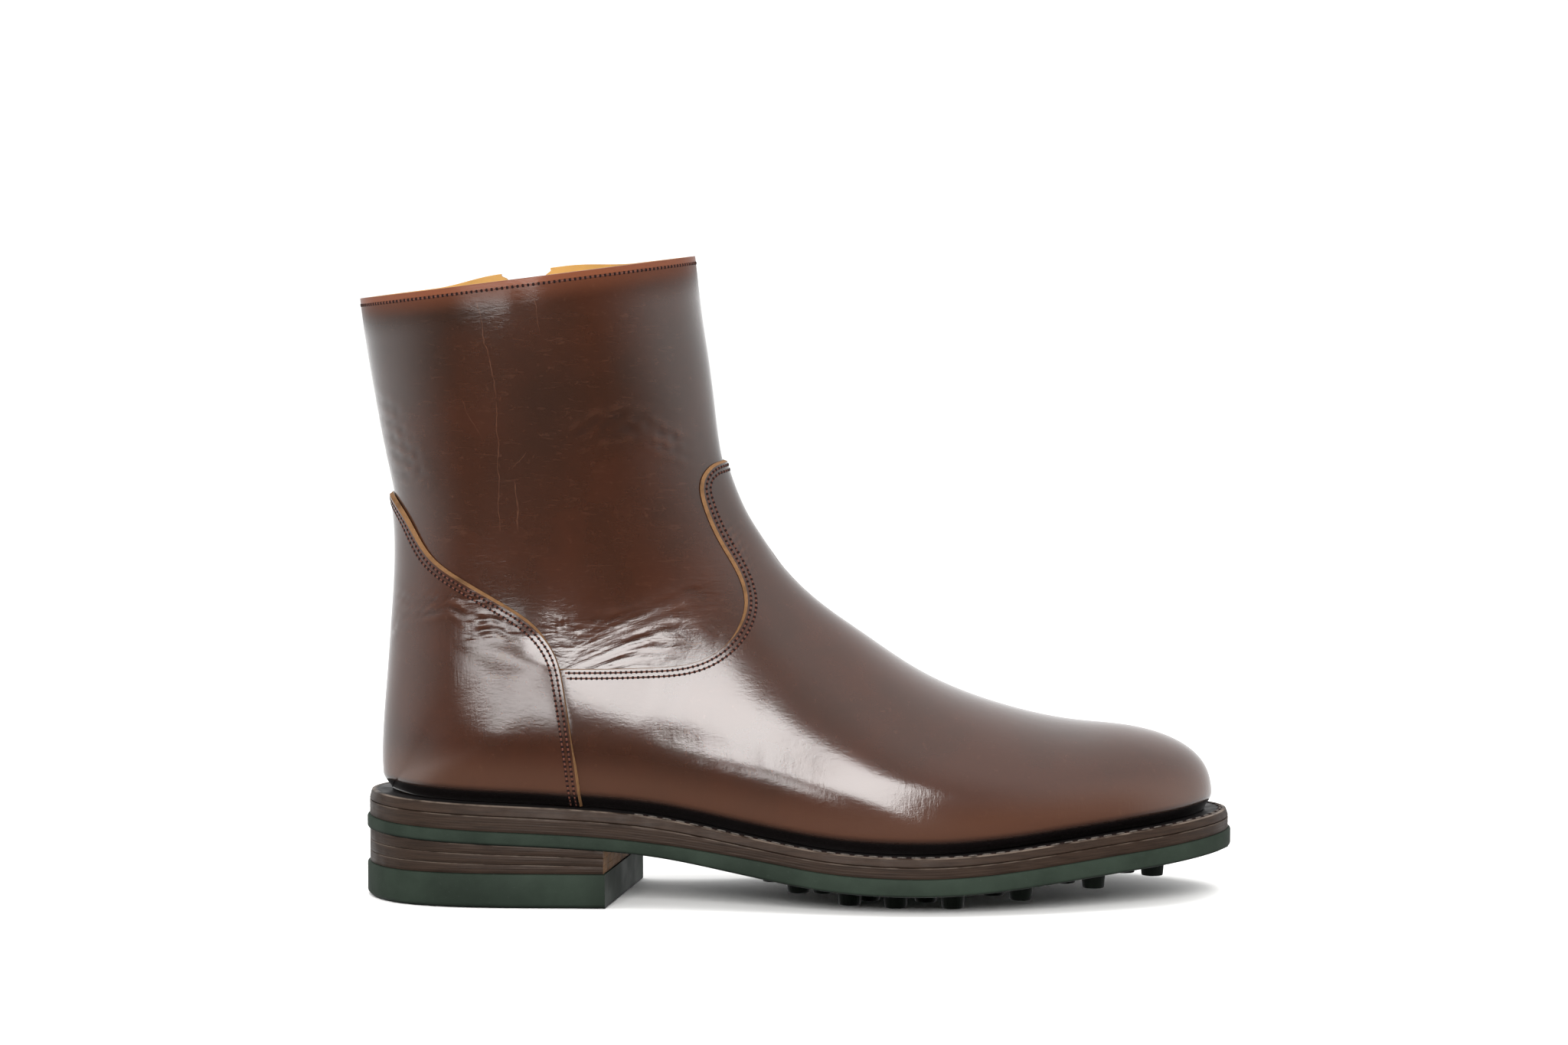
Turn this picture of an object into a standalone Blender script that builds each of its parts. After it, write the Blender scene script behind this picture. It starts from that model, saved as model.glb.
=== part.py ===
"""Side-zip ankle boot for the right foot: lasted upper with overlays, welted sole, stacked heel and zip.

Tables and sizes are in millimetres, in the boot's own sizes: x runs forward from the rear end of the sole,
y to the inner (medial) side and z up from the floor. metres() carries them into the part's frame.
"""
import math
from collections import namedtuple

import bpy
import numpy as np
from mathutils import Matrix, Vector

MM = 0.001
FRAME_X = 154.3          # the middle of the boot's length lies on the frame's origin
FRAME_Y = 0.15           # and so does the middle of its width

GAP = 0.3                # between pieces that touch
WALL = 2.2               # upper's leather with its lining
VAMP_LAYER = 1.5         # outer face of the vamp above the upper
COUNTER_LAYER = 2.1      # the counter laps over the vamp, so it stands higher
WELT_REACH = 8.2         # sole's edge outside the upper's feather line
WELT_LAP = 7.0           # welt's inner edge inside the feather line
INSOLE_INSET = 3.6       # insole's edge inside the feather line
INSOLE_THICK = 3.5
LUG_HEIGHT = 5.0
LUG_RADIUS = 4.6
LUG_TAPER = 0.83
LUG_SIDES = 8
LUG_FLAT = 1.1           # lugs that would end lower than this are cut flat on the floor
CAMBER = 1.6             # forefoot of the outsole bulges down by this in the middle
TOP_PIECE = 12.0         # height of the heel's rubber top piece
HEEL_LIFTS = 3
BREAST_LATERAL = 86.0    # heel's front face, at its outer and inner ends
BREAST_MEDIAL = 97.0
STATIONS = 36            # steps along each sole layer
HEEL_STATIONS = 18       # and along each layer of the heel
RIM_STEPS = 76           # steps round the welt
COLUMNS = 30             # steps over the upper, from outer to inner feather line
FOOT_ROWS = 16           # steps along the upper, from the toe to the heel
REAR_ROWS = (13.4, 13.7, 13.9, 14.0)  # closer ones round the heel
LEG_ROWS = 9             # and on up to the collar

# Feather line, where the upper meets the welt, seen from above
Plan = namedtuple("Plan", "x lateral medial")
FEATHER_REAR = 8.2
FEATHER_TOE = 301.6
TOE_LEAN = 4.0           # the toe's tip lies this far to the inner side
FEATHER = (
    Plan(11.0, 10.9, 10.6),
    Plan(17.0, 18.6, 17.6),
    Plan(27.0, 24.0, 23.0),
    Plan(42.0, 27.4, 26.0),
    Plan(62.0, 28.8, 26.2),
    Plan(86.0, 29.6, 24.4),
    Plan(110.0, 31.4, 22.8),
    Plan(135.0, 35.6, 24.8),
    Plan(160.0, 41.0, 31.8),
    Plan(185.0, 45.2, 40.2),
    Plan(205.0, 45.9, 44.8),
    Plan(225.0, 43.6, 46.2),
    Plan(245.0, 39.0, 44.4),
    Plan(264.0, 32.6, 40.2),
    Plan(279.0, 26.0, 34.2),
    Plan(290.5, 17.4, 25.4),
    Plan(298.0, 8.2, 16.2),
)

# Lower edge of the outsole's side, seen from the side: heel seat, arch, ball and toe spring
Edge = namedtuple("Edge", "x z")
SOLE_EDGE = (
    Edge(-2.0, 24.3),
    Edge(40.0, 22.4),
    Edge(86.0, 20.2),
    Edge(107.0, 17.9),
    Edge(125.0, 14.7),
    Edge(143.0, 11.3),
    Edge(165.0, 7.9),
    Edge(185.0, 6.7),
    Edge(200.0, 6.6),
    Edge(222.0, 7.9),
    Edge(249.0, 11.0),
    Edge(277.0, 14.1),
    Edge(312.0, 17.4),
)

# Thickness of each sole layer under the heel and under the forefoot
Layer = namedtuple("Layer", "heel forefoot inset")
OUTSOLE = Layer(4.6, 6.2, 0.0)
MIDSOLE = Layer(5.4, 4.0, 0.9)
WELT = Layer(3.8, 3.2, 1.5)
LAYERS_START = 95.0
LAYERS_END = 150.0

# Girth sections of the last from the toe to the collar. Each section is a plane from a point under the foot
# (on the feather line, and above the heel on the back seam) to one on the ridge of toe, instep and shin.
# lateral and medial are its half-widths halfway up, ridge shifts the ridge to the inner side, and fullness
# over 1 squares the section's shoulders.
Girth = namedtuple("Girth", "name under_x under_z over_x over_z lateral medial ridge fullness")
FEATHER_Z = None
GIRTHS = (
    Girth("toe edge", 283.0, FEATHER_Z, 301.6, 30.4, 17.6, 21.6, 4.0, 1.0),
    Girth("toe rise", 279.5, FEATHER_Z, 301.2, 39.0, 20.8, 24.6, 4.0, 1.1),
    Girth("toe shoulder", 273.0, FEATHER_Z, 297.8, 46.8, 24.9, 28.8, 4.1, 1.2),
    Girth("toe crown", 263.0, FEATHER_Z, 288.0, 53.8, 30.5, 33.6, 4.2, 1.3),
    Girth("toe top", 250.0, FEATHER_Z, 271.2, 58.2, 35.6, 37.6, 4.4, 1.4),
    Girth("toe break", 233.0, FEATHER_Z, 250.0, 60.4, 40.4, 40.6, 4.7, 1.45),
    Girth("vamp point", 214.0, FEATHER_Z, 225.0, 66.4, 42.6, 41.4, 5.0, 1.4),
    Girth("ball", 194.0, FEATHER_Z, 200.0, 76.6, 41.6, 39.8, 5.3, 1.25),
    Girth("waist", 172.0, FEATHER_Z, 178.5, 90.4, 38.4, 36.6, 5.2, 1.12),
    Girth("low instep", 148.0, FEATHER_Z, 162.0, 102.4, 34.6, 33.6, 4.8, 1.05),
    Girth("instep", 120.0, FEATHER_Z, 149.2, 114.6, 31.8, 31.4, 4.2, 1.0),
    Girth("high instep", 90.0, FEATHER_Z, 140.6, 126.2, 30.4, 30.4, 3.6, 1.0),
    Girth("short heel", 58.0, FEATHER_Z, 134.6, 136.0, 30.2, 30.4, 3.0, 1.0),
    Girth("heel girth", 27.0, FEATHER_Z, 130.8, 144.6, 30.6, 30.8, 2.4, 1.0),
    Girth("long heel", 8.2, FEATHER_Z, 128.4, 151.4, 31.0, 31.2, 2.0, 1.0),
    Girth("heel curve", 7.3, 52.0, 127.1, 156.6, 31.2, 31.4, 1.8, 1.0),
    Girth("above heel", 8.9, 76.0, 126.1, 162.6, 32.0, 32.2, 1.6, 1.0),
    Girth("ankle", 11.2, 105.0, 125.1, 170.4, 34.2, 34.2, 1.3, 1.0),
    Girth("low shaft", 11.8, 133.0, 123.9, 181.0, 37.6, 37.4, 1.0, 1.0),
    Girth("mid shaft", 7.8, 157.0, 122.3, 193.0, 41.2, 40.8, 0.7, 1.0),
    Girth("high shaft", 3.6, 180.0, 120.4, 205.4, 44.6, 44.0, 0.4, 1.0),
    Girth("under collar", 0.3, 200.2, 118.9, 218.2, 47.4, 46.8, 0.2, 1.0),
    Girth("collar", -1.2, 212.8, 117.8, 227.8, 48.2, 47.6, 0.0, 1.0),
)
HEEL_ROW = 14            # from this section on, the sections close at the back seam
SIDE_SWELL = 0.085       # heel and waist are wider by this share a little above the welt
SWELL_FULL = 26.0        # heights above the welt where it is full and where it ends
SWELL_END = 75.0
SWELL_FADE = 150.0       # it fades from here to the front of the ball
SWELL_FRONT = 245.0

# Cut edges of the overlays, seen from the side
VAMP_SEAM = (
    Edge(72.2, 84.3),
    Edge(88.0, 84.2),
    Edge(102.9, 84.5),
    Edge(120.2, 86.9),
    Edge(130.8, 94.3),
    Edge(135.3, 104.8),
    Edge(133.4, 114.1),
    Edge(126.8, 125.9),
    Edge(120.7, 139.6),
    Edge(119.8, 148.9),
    Edge(123.9, 154.2),
    Edge(130.5, 155.2),
    Edge(142.0, 155.6),
)
COUNTER_SEAM = (
    Edge(79.8, 20.0),
    Edge(78.2, 37.5),
    Edge(75.2, 61.5),
    Edge(72.6, 77.7),
    Edge(70.3, 87.1),
    Edge(62.8, 98.2),
    Edge(49.4, 107.6),
    Edge(35.9, 115.4),
    Edge(25.4, 123.1),
    Edge(17.5, 135.1),
    Edge(10.6, 144.0),
    Edge(2.0, 153.0),
)
SEAM_STEPS = 44

# Zip on the inner side
ZIP_TOP = Edge(55.0, 219.6)
ZIP_END = Edge(72.0, 62.0)
SLOT_HALF = 5.5          # slot in the leather
SLOT_FLARE = 9.0         # half-width of the notch at the collar
SLOT_FLARE_DROP = 6.0
TAPE_HALF = 13.0
TAPE_THICK = 0.8
TAPE_SHORT = 6.0         # tape ends this far below the collar
ZIP_PATCH = (13, 16, 29)  # first row, first and last column of the grid that the zip's pieces are cut from
CHAIN_HALF = 3.0
CHAIN_RISE = 0.3         # chain's outer face above the upper's
SLIDER_DROP = 12.5       # slider's middle below the collar, along the zip
SLIDER_LONG = 13.0
SLIDER_WIDE = 9.0
SLIDER_NOSE = 6.0        # width at the lower end
SLIDER_THICK = 2.0
BRIDGE_LONG = 7.6
BRIDGE_WIDE = 2.2
BRIDGE_BAR = 1.2
BRIDGE_CLEAR = 2.6       # room under the bridge for the pull's bar
PULL_LONG = 26.0
PULL_WIDE = 7.4
PULL_THICK = 1.4
PULL_EYE_LONG = 6.4
PULL_EYE_WIDE = 3.4

LUG_ROWS = (
    Plan(150.0, 17.0, 12.0),
    Plan(168.0, 27.0, 22.0),
    Plan(184.0, 33.0, 29.0),
    Plan(204.0, 34.0, 34.0),
    Plan(228.0, 31.0, 33.0),
    Plan(254.0, 24.0, 27.0),
    Plan(276.0, 11.0, 13.0),
)
LUG_SPACE = 15.0
LUG_STAGGER = 4.5        # lugs of a row stand this far before and behind it in turn


def metres(points):
    """Points of the tables' frame in the part's frame."""
    return (np.asarray(points, float) - (FRAME_X, FRAME_Y, 0.0)) * MM


def natural_spline(knots, values):
    """The natural cubic spline of values over knots."""
    knots = np.asarray(knots, float)
    values = np.asarray(values, float)
    count = len(knots)
    steps = np.diff(knots)
    slopes = np.diff(values) / steps
    system = np.eye(count)
    right = np.zeros(count)
    for i in range(1, count - 1):
        system[i, i - 1:i + 2] = steps[i - 1], 2 * (steps[i - 1] + steps[i]), steps[i]
        right[i] = 6 * (slopes[i] - slopes[i - 1])
    bend = np.linalg.solve(system, right)

    def curve(at):
        at = np.asarray(at, float)
        i = np.clip(np.searchsorted(knots, at) - 1, 0, count - 2)
        ahead = (at - knots[i]) / steps[i]
        behind = 1 - ahead
        sag = (behind ** 3 - behind) * bend[i] + (ahead ** 3 - ahead) * bend[i + 1]
        return behind * values[i] + ahead * values[i + 1] + sag * steps[i] ** 2 / 6

    return curve


def smooth_line(rows, steps):
    """A table of (x, z) rows as a smooth line of points."""
    points = np.array(rows)
    along = np.concatenate(([0], np.cumsum(np.hypot(*np.diff(points, axis=0).T))))
    at = np.linspace(0, along[-1], steps)
    return np.stack([natural_spline(along, points[:, k])(at) for k in (0, 1)], axis=1)


def shifted(line, distance):
    """A line of points moved to its right by a distance."""
    ahead = np.gradient(line, axis=0)
    ahead /= np.linalg.norm(ahead, axis=1)[:, None]
    return line + distance * np.stack([ahead[:, 1], -ahead[:, 0]], axis=1)


def smoothstep(low, high, at):
    share = np.clip((np.asarray(at, float) - low) / (high - low), 0, 1)
    return share * share * (3 - 2 * share)


def feather_loop(steps, offset=0.0):
    """The feather line as a closed loop of points from the heel along the outer side, moved out by offset."""
    lateral = [(row.x, -row.lateral) for row in FEATHER]
    medial = [(row.x, row.medial) for row in reversed(FEATHER)]
    corners = [(FEATHER_REAR, 0.0)] + lateral + [(FEATHER_TOE, TOE_LEAN)] + medial
    wrap = 4
    points = np.array(corners[-wrap:] + corners + corners[:wrap + 1])
    along = np.concatenate(([0], np.cumsum(np.hypot(*np.diff(points, axis=0).T))))
    at = np.linspace(along[wrap], along[-1 - wrap], steps, endpoint=False)
    curves = [natural_spline(along, points[:, k]) for k in (0, 1)]
    loop = np.stack([curve(at) for curve in curves], axis=1)
    tangent = np.stack([curve(at + 0.05) - curve(at - 0.05) for curve in curves], axis=1)
    tangent /= np.linalg.norm(tangent, axis=1)[:, None]
    return loop + offset * np.stack([tangent[:, 1], -tangent[:, 0]], axis=1)


class Outline:
    """Half-widths of the feather line moved out by an offset, by the distance along the boot."""

    def __init__(self, offset):
        loop = feather_loop(2400, offset)
        rear = int(np.argmin(loop[:, 0]))
        loop = np.roll(loop, -rear, axis=0)
        toe = int(np.argmax(loop[:, 0]))
        outer = loop[:toe + 1]
        inner = np.concatenate((loop[toe:], loop[:1]))[::-1]
        self.rear = loop[0]
        self.toe = loop[toe]
        self.outer = outer
        self.inner = inner

    def lateral(self, x):
        return np.interp(x, self.outer[:, 0], self.outer[:, 1])

    def medial(self, x):
        return np.interp(x, self.inner[:, 0], self.inner[:, 1])


sole_edge = natural_spline([row.x for row in SOLE_EDGE], [row.z for row in SOLE_EDGE])
feather = Outline(0.0)


def thickness(layer, x):
    return layer.heel + (layer.forefoot - layer.heel) * smoothstep(LAYERS_START, LAYERS_END, x)


def outsole_top(x):
    return sole_edge(x) + thickness(OUTSOLE, x)


def midsole_top(x):
    return outsole_top(x) + thickness(MIDSOLE, x)


def welt_top(x):
    return midsole_top(x) + thickness(WELT, x)


def girth_curves():
    """Each column of the girth table as a smooth curve over the rows."""
    rows = np.arange(len(GIRTHS))
    names = ("over_x", "over_z", "lateral", "medial", "ridge", "fullness")
    curves = {name: natural_spline(rows, [getattr(row, name) for row in GIRTHS]) for name in names}
    foot = rows[:HEEL_ROW + 1]
    curves["foot_x"] = natural_spline(foot, [GIRTHS[i].under_x for i in foot])
    leg = rows[HEEL_ROW:]
    heel_z = float(welt_top(FEATHER_REAR)) + GAP
    leg_z = [heel_z] + [GIRTHS[i].under_z for i in leg[1:]]
    curves["leg_x"] = natural_spline(leg, [GIRTHS[i].under_x for i in leg])
    curves["leg_z"] = natural_spline(leg, leg_z)
    return curves


CURVES = girth_curves()


def side_swell(x, z):
    """Share by which heel and waist are wider at a place in side view."""
    height = z - welt_top(x)
    upward = smoothstep(0.0, SWELL_FULL, height) * smoothstep(SWELL_END, SWELL_FULL, height)
    return SIDE_SWELL * upward * smoothstep(SWELL_FRONT, SWELL_FADE, x)


def last_surface(row, across):
    """Points of the last: row runs over the girth table, across from -1 (outer edge) over 0 to 1 (inner)."""
    row, across = np.broadcast_arrays(np.asarray(row, float), np.asarray(across, float))
    closed = row >= HEEL_ROW
    under_x = np.where(closed, CURVES["leg_x"](row), CURVES["foot_x"](row))
    under_z = np.where(closed, CURVES["leg_z"](row), welt_top(under_x) + GAP)
    over_x = CURVES["over_x"](row)
    over_z = CURVES["over_z"](row)
    inner = across > 0
    middle = np.where(inner, CURVES["medial"](row), CURVES["lateral"](row))
    edge = np.where(inner, feather.medial(under_x), -feather.lateral(under_x))
    edge = np.where(closed, 0.0, np.maximum(edge, 0.0))
    up = 1 - np.abs(across)
    roundness = 1 - np.clip(edge / middle, 0, 1)
    open_rise = 1 - (1 - up) ** 2
    ring_rise = (1 - np.cos(np.pi * up)) / 2
    rise = open_rise + (ring_rise - open_rise) * roundness
    fullness = CURVES["fullness"](row)
    swell = 2 * (middle ** 2 / (1 - 0.5 ** fullness) - edge ** 2)
    half = np.sqrt(np.maximum((1 - rise ** fullness) * (edge ** 2 + swell * rise), 0.0))
    x = under_x + (over_x - under_x) * rise
    z = under_z + (over_z - under_z) * rise
    y = np.where(inner, half, -half) * (1 + side_swell(x, z)) + CURVES["ridge"](row) * rise
    return np.stack([x, y, z], axis=-1)


class Last:
    """Grid of the last's surface with its outward normals, which every piece of the upper is offset from."""

    def __init__(self):
        foot = np.linspace(0, HEEL_ROW - 1, FOOT_ROWS + 1)
        leg = np.linspace(HEEL_ROW, len(GIRTHS) - 1, LEG_ROWS + 1)
        rows = np.concatenate((foot, REAR_ROWS, leg[1:]))
        heel = FOOT_ROWS + len(REAR_ROWS)
        across = np.linspace(-1, 1, COLUMNS + 1)
        grid = last_surface(rows[:, None], across[None, :])
        last_row = len(rows) - 1
        index = np.zeros(grid.shape[:2], int)
        points = []
        for i in range(last_row + 1):
            for j in range(COLUMNS + 1):
                if i >= heel and j == COLUMNS:
                    index[i, j] = index[i, 0]
                    continue
                index[i, j] = len(points)
                points.append(grid[i, j])
        self.index = index
        self.points = np.array(points)
        self.faces = self.patch(0, 0, COLUMNS)
        edge = set(index[0]) | set(index[:heel + 1, 0]) | set(index[:heel + 1, COLUMNS])
        self.feather = np.array(sorted(edge))
        self.normals = self.vertex_normals()

    def patch(self, first_row, first_column, last_column):
        """Triangles of the grid from a row up to the collar, between two columns, alike on both sides."""
        faces = []
        for i in range(first_row, self.index.shape[0] - 1):
            for j in range(first_column, last_column):
                a, b, c, d = self.index[[i, i, i + 1, i + 1], [j, j + 1, j + 1, j]]
                faces += [(a, b, c), (a, c, d)] if j < COLUMNS // 2 else [(a, b, d), (b, c, d)]
        return faces

    def vertex_normals(self):
        normals = np.zeros_like(self.points)
        for face in self.faces:
            a, b, c = self.points[list(face)]
            normals[list(face)] += np.cross(b - a, c - a)
        normals[self.feather, 2] = 0.0
        return normals / np.linalg.norm(normals, axis=1)[:, None]

    def offset(self, distance):
        """The surface moved out by a distance, its lower edge kept just above the welt."""
        points = self.points + distance * self.normals
        points[self.feather, 2] = welt_top(points[self.feather, 0]) + GAP
        return points


def rim_edges(faces):
    """Edges that belong to one face only."""
    seen = {(a, b) for face in faces for a, b in zip(face, face[1:] + face[:1])}
    return [(a, b) for a, b in seen if (b, a) not in seen]


def material(name, colour, roughness, metallic=0.0):
    shade = bpy.data.materials.new(name)
    shade.use_nodes = True
    shader = shade.node_tree.nodes["Principled BSDF"]
    shader.inputs["Base Color"].default_value = (*colour, 1.0)
    shader.inputs["Roughness"].default_value = roughness
    shader.inputs["Metallic"].default_value = metallic
    return shade


def add_object(name, points, faces, shade=None):
    """An object from points in metres."""
    mesh = bpy.data.meshes.new(name)
    mesh.from_pydata([tuple(point) for point in points], [], [tuple(int(i) for i in face) for face in faces])
    mesh.validate()
    thing = bpy.data.objects.new(name, mesh)
    bpy.context.scene.collection.objects.link(thing)
    if shade:
        mesh.materials.append(shade)
    return thing


def shell(name, last, inner, outer, shade, patch=None):
    """A closed wall between two offsets of the last, or of a patch of its faces."""
    used = np.unique(patch or last.faces)
    place = {int(old): new for new, old in enumerate(used)}
    front = [tuple(place[int(i)] for i in face) for face in patch or last.faces]
    count = len(used)
    points = np.concatenate((last.offset(outer)[used], last.offset(inner)[used]))
    faces = front + [tuple(i + count for i in reversed(face)) for face in front]
    faces += [(b, a, a + count, b + count) for a, b in rim_edges(front)]
    return add_object(name, metres(points), faces, shade)


def prism(name, line, y_from, y_to):
    """A hidden cutter: an outline of (x, z) points pulled along the boot's width."""
    count = len(line)
    points = [(x, y, z) for y in (y_from, y_to) for x, z in line]
    faces = [tuple(range(count)), tuple(range(2 * count - 1, count - 1, -1))]
    faces += [(i, i + count, (i + 1) % count + count, (i + 1) % count) for i in range(count)]
    cutter = add_object(name, metres(points), faces)
    turn_outward(cutter)
    cutter.hide_render = True
    cutter.display_type = "WIRE"
    return cutter


def turn_outward(thing):
    """Face normals outward, by the sign of the enclosed volume."""
    mesh = thing.data
    mesh.calc_loop_triangles()
    volume = 0.0
    for triangle in mesh.loop_triangles:
        a, b, c = (mesh.vertices[i].co for i in triangle.vertices)
        volume += a.dot(b.cross(c))
    if volume < 0:
        mesh.flip_normals()


def boolean(thing, cutter, operation):
    step = thing.modifiers.new(operation.title(), "BOOLEAN")
    step.operation = operation
    step.solver = "EXACT"
    step.object = cutter


def layer_solid(name, levels, shade, ends=None, camber=0.0):
    """A sole layer between levels of (offset from the feather line, height over x), as stations of points.

    ends gives the outer and inner x where the layer stops short of the toe, for the heel.
    """
    across = (0.0, 0.5, 1.0) if camber else (0.0, 1.0)
    wide = len(across)
    stations = HEEL_STATIONS if ends else STATIONS
    points = []
    for offset, height in levels:
        outline = Outline(offset)
        rear, toe = outline.rear, outline.toe
        share = np.linspace(0, 1, stations + 1)
        reach = 1 - np.cos(np.pi * share / 2) if ends else (1 - np.cos(np.pi * share)) / 2
        outer_end, inner_end = ends or (toe[0], toe[0])
        outer_x = rear[0] + (outer_end - rear[0]) * reach
        inner_x = rear[0] + (inner_end - rear[0]) * reach
        outer_y = outline.lateral(outer_x)
        inner_y = outline.medial(inner_x)
        for i in range(1, stations + bool(ends)):
            for k in across:
                x = outer_x[i] + (inner_x[i] - outer_x[i]) * k
                y = outer_y[i] + (inner_y[i] - outer_y[i]) * k
                bulge = 4 * k * (1 - k) * camber * smoothstep(LAYERS_START, LAYERS_END, x)
                points.append((x, y, height(x) - bulge))
        points.append((rear[0], rear[1], height(rear[0])))
        if not ends:
            points.append((toe[0], toe[1], height(toe[0])))
    rows = stations - 1 + bool(ends)
    step = rows * wide + (1 if ends else 2)
    faces = []
    for level in range(len(levels)):
        base = level * step
        rear_tip = base + rows * wide
        cap = []
        for i in range(rows - 1):
            for k in range(wide - 1):
                a = base + i * wide + k
                cap.append((a, a + 1, a + wide + 1, a + wide))
        for k in range(wide - 1):
            cap.append((rear_tip, base + k + 1, base + k))
            if not ends:
                a = base + (rows - 1) * wide + k
                cap.append((a, a + 1, rear_tip + 1))
        if level == 0:
            faces += [tuple(reversed(face)) for face in cap]
        if level == len(levels) - 1:
            faces += cap
        if level:
            loop = [i * wide for i in range(rows - 1, -1, -1)] + [rows * wide]
            loop += [i * wide + wide - 1 for i in range(rows)]
            loop += [(rows - 1) * wide + k for k in range(wide - 2, 0, -1)] if ends else [rows * wide + 1]
            for a, b in zip(loop, loop[1:] + loop[:1]):
                faces.append((base - step + a, base - step + b, base + b, base + a))
    thing = add_object(name, metres(points), faces, shade)
    turn_outward(thing)
    return thing


def welt_ring(shade):
    """The welt: a band round the feather line, its outer face sloping out to the midsole."""
    profile = (
        (WELT_REACH - WELT.inset, lambda x: welt_top(x)),
        (-WELT_LAP, lambda x: welt_top(x)),
        (-WELT_LAP, lambda x: midsole_top(x) + GAP),
        (WELT_REACH - MIDSOLE.inset, lambda x: midsole_top(x) + GAP),
    )
    points = []
    for offset, height in profile:
        loop = feather_loop(RIM_STEPS, offset)
        points += [(x, y, float(height(x))) for x, y in loop]
    faces = []
    for k in range(len(profile)):
        near = k * RIM_STEPS
        far = (k + 1) % len(profile) * RIM_STEPS
        for i in range(RIM_STEPS):
            j = (i + 1) % RIM_STEPS
            faces.append((near + i, near + j, far + j, far + i))
    welt = add_object("welt", metres(points), faces, shade)
    turn_outward(welt)
    return welt


def lug_points(x, y):
    """Rings of one lug: a tapered stud from inside the outsole to its foot."""
    local = float(sole_edge(x)) - CAMBER
    foot = local - LUG_HEIGHT
    foot = 0.0 if foot < LUG_FLAT else foot
    angles = [2 * math.pi * (i + 0.5) / LUG_SIDES for i in range(LUG_SIDES)]
    rings = []
    for radius, z in ((LUG_RADIUS * LUG_TAPER, foot), (LUG_RADIUS, local + CAMBER + 1.0)):
        rings += [(x + radius * math.cos(a), y + radius * math.sin(a), z) for a in angles]
    return rings


def outsole_lugs():
    """All lugs as one hidden mesh that is joined to the outsole."""
    points = []
    faces = []
    for row in LUG_ROWS:
        count = max(2, round((row.lateral + row.medial) / LUG_SPACE) + 1)
        for k, y in enumerate(np.linspace(-row.lateral, row.medial, count)):
            base = len(points)
            points += lug_points(row.x + LUG_STAGGER * (-1) ** k, y)
            ring = range(LUG_SIDES)
            faces.append(tuple(base + i for i in reversed(ring)))
            faces.append(tuple(base + LUG_SIDES + i for i in ring))
            for i in ring:
                j = (i + 1) % LUG_SIDES
                faces.append((base + i, base + j, base + LUG_SIDES + j, base + LUG_SIDES + i))
    lugs = add_object("lug_former", metres(points), faces)
    lugs.hide_render = True
    lugs.display_type = "WIRE"
    return lugs


def build_sole():
    rubber = material("outsole rubber", (0.035, 0.042, 0.036), 0.6)
    leather = material("edge leather", (0.16, 0.06, 0.025), 0.5)
    outsole = layer_solid(
        "outsole",
        [(WELT_REACH, lambda x: sole_edge(x)), (WELT_REACH, lambda x: outsole_top(x))],
        rubber, camber=CAMBER)
    flatten_top(outsole)
    boolean(outsole, outsole_lugs(), "UNION")
    reach = WELT_REACH - MIDSOLE.inset
    layer_solid(
        "midsole",
        [(reach, lambda x: outsole_top(x) + GAP), (reach, lambda x: midsole_top(x))],
        leather)
    welt_ring(material("welt leather", (0.14, 0.05, 0.02), 0.5))
    layer_solid(
        "insole",
        [(-INSOLE_INSET, lambda x: welt_top(x) + GAP),
         (-INSOLE_INSET, lambda x: welt_top(x) + GAP + INSOLE_THICK)],
        material("insole leather", (0.45, 0.26, 0.12), 0.7))
    build_heel(rubber)


def flatten_top(outsole):
    """The outsole's top face has no bulge: only its underside does."""
    for vertex in outsole.data.vertices:
        x = vertex.co.x / MM + FRAME_X
        top = float(outsole_top(x))
        if vertex.co.z / MM > float(sole_edge(x)) + 0.5:
            vertex.co.z = top * MM


def build_heel(rubber):
    ends = (BREAST_LATERAL, BREAST_MEDIAL)
    lift_leather = material("heel leather", (0.13, 0.05, 0.022), 0.5)
    reach = WELT_REACH - MIDSOLE.inset

    def lift_height(step):
        def height(x):
            return TOP_PIECE + (sole_edge(x) - TOP_PIECE) * step / HEEL_LIFTS
        return height

    for i in range(HEEL_LIFTS):
        low = lift_height(i)
        high = lift_height(i + 1)
        layer_solid(
            f"heel_lift_{i + 1}",
            [(reach, lambda x, low=low: low(x)), (reach, lambda x, high=high: high(x) - GAP)],
            lift_leather, ends=ends)
    layer_solid(
        "heel_top_piece",
        [(WELT_REACH - 1.3, lambda x: 0.0 * x), (WELT_REACH, lambda x: 1.4 + 0.0 * x),
         (WELT_REACH, lambda x: TOP_PIECE - GAP + 0.0 * x)],
        rubber, ends=(BREAST_LATERAL + 0.6, BREAST_MEDIAL + 0.6))


def zip_frame(at):
    """Point of the zip's line in side view, and its direction up the line."""
    top = np.array(ZIP_TOP)
    end = np.array(ZIP_END)
    up = (top - end) / np.linalg.norm(top - end)
    return top - at * up, up


def strip_outline(half, top_drop, bottom_drop):
    """Outline of a straight strip along the zip, from a drop below the collar to one with a round end."""
    start, up = zip_frame(top_drop)
    end, up = zip_frame(bottom_drop)
    side = np.array((up[1], -up[0]))
    line = [start + half * side, start - half * side, end - half * side]
    turns = np.linspace(0, np.pi, 9)[1:-1]
    line += [end - half * (math.cos(a) * side + math.sin(a) * up) for a in turns]
    return line + [end + half * side]


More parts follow.
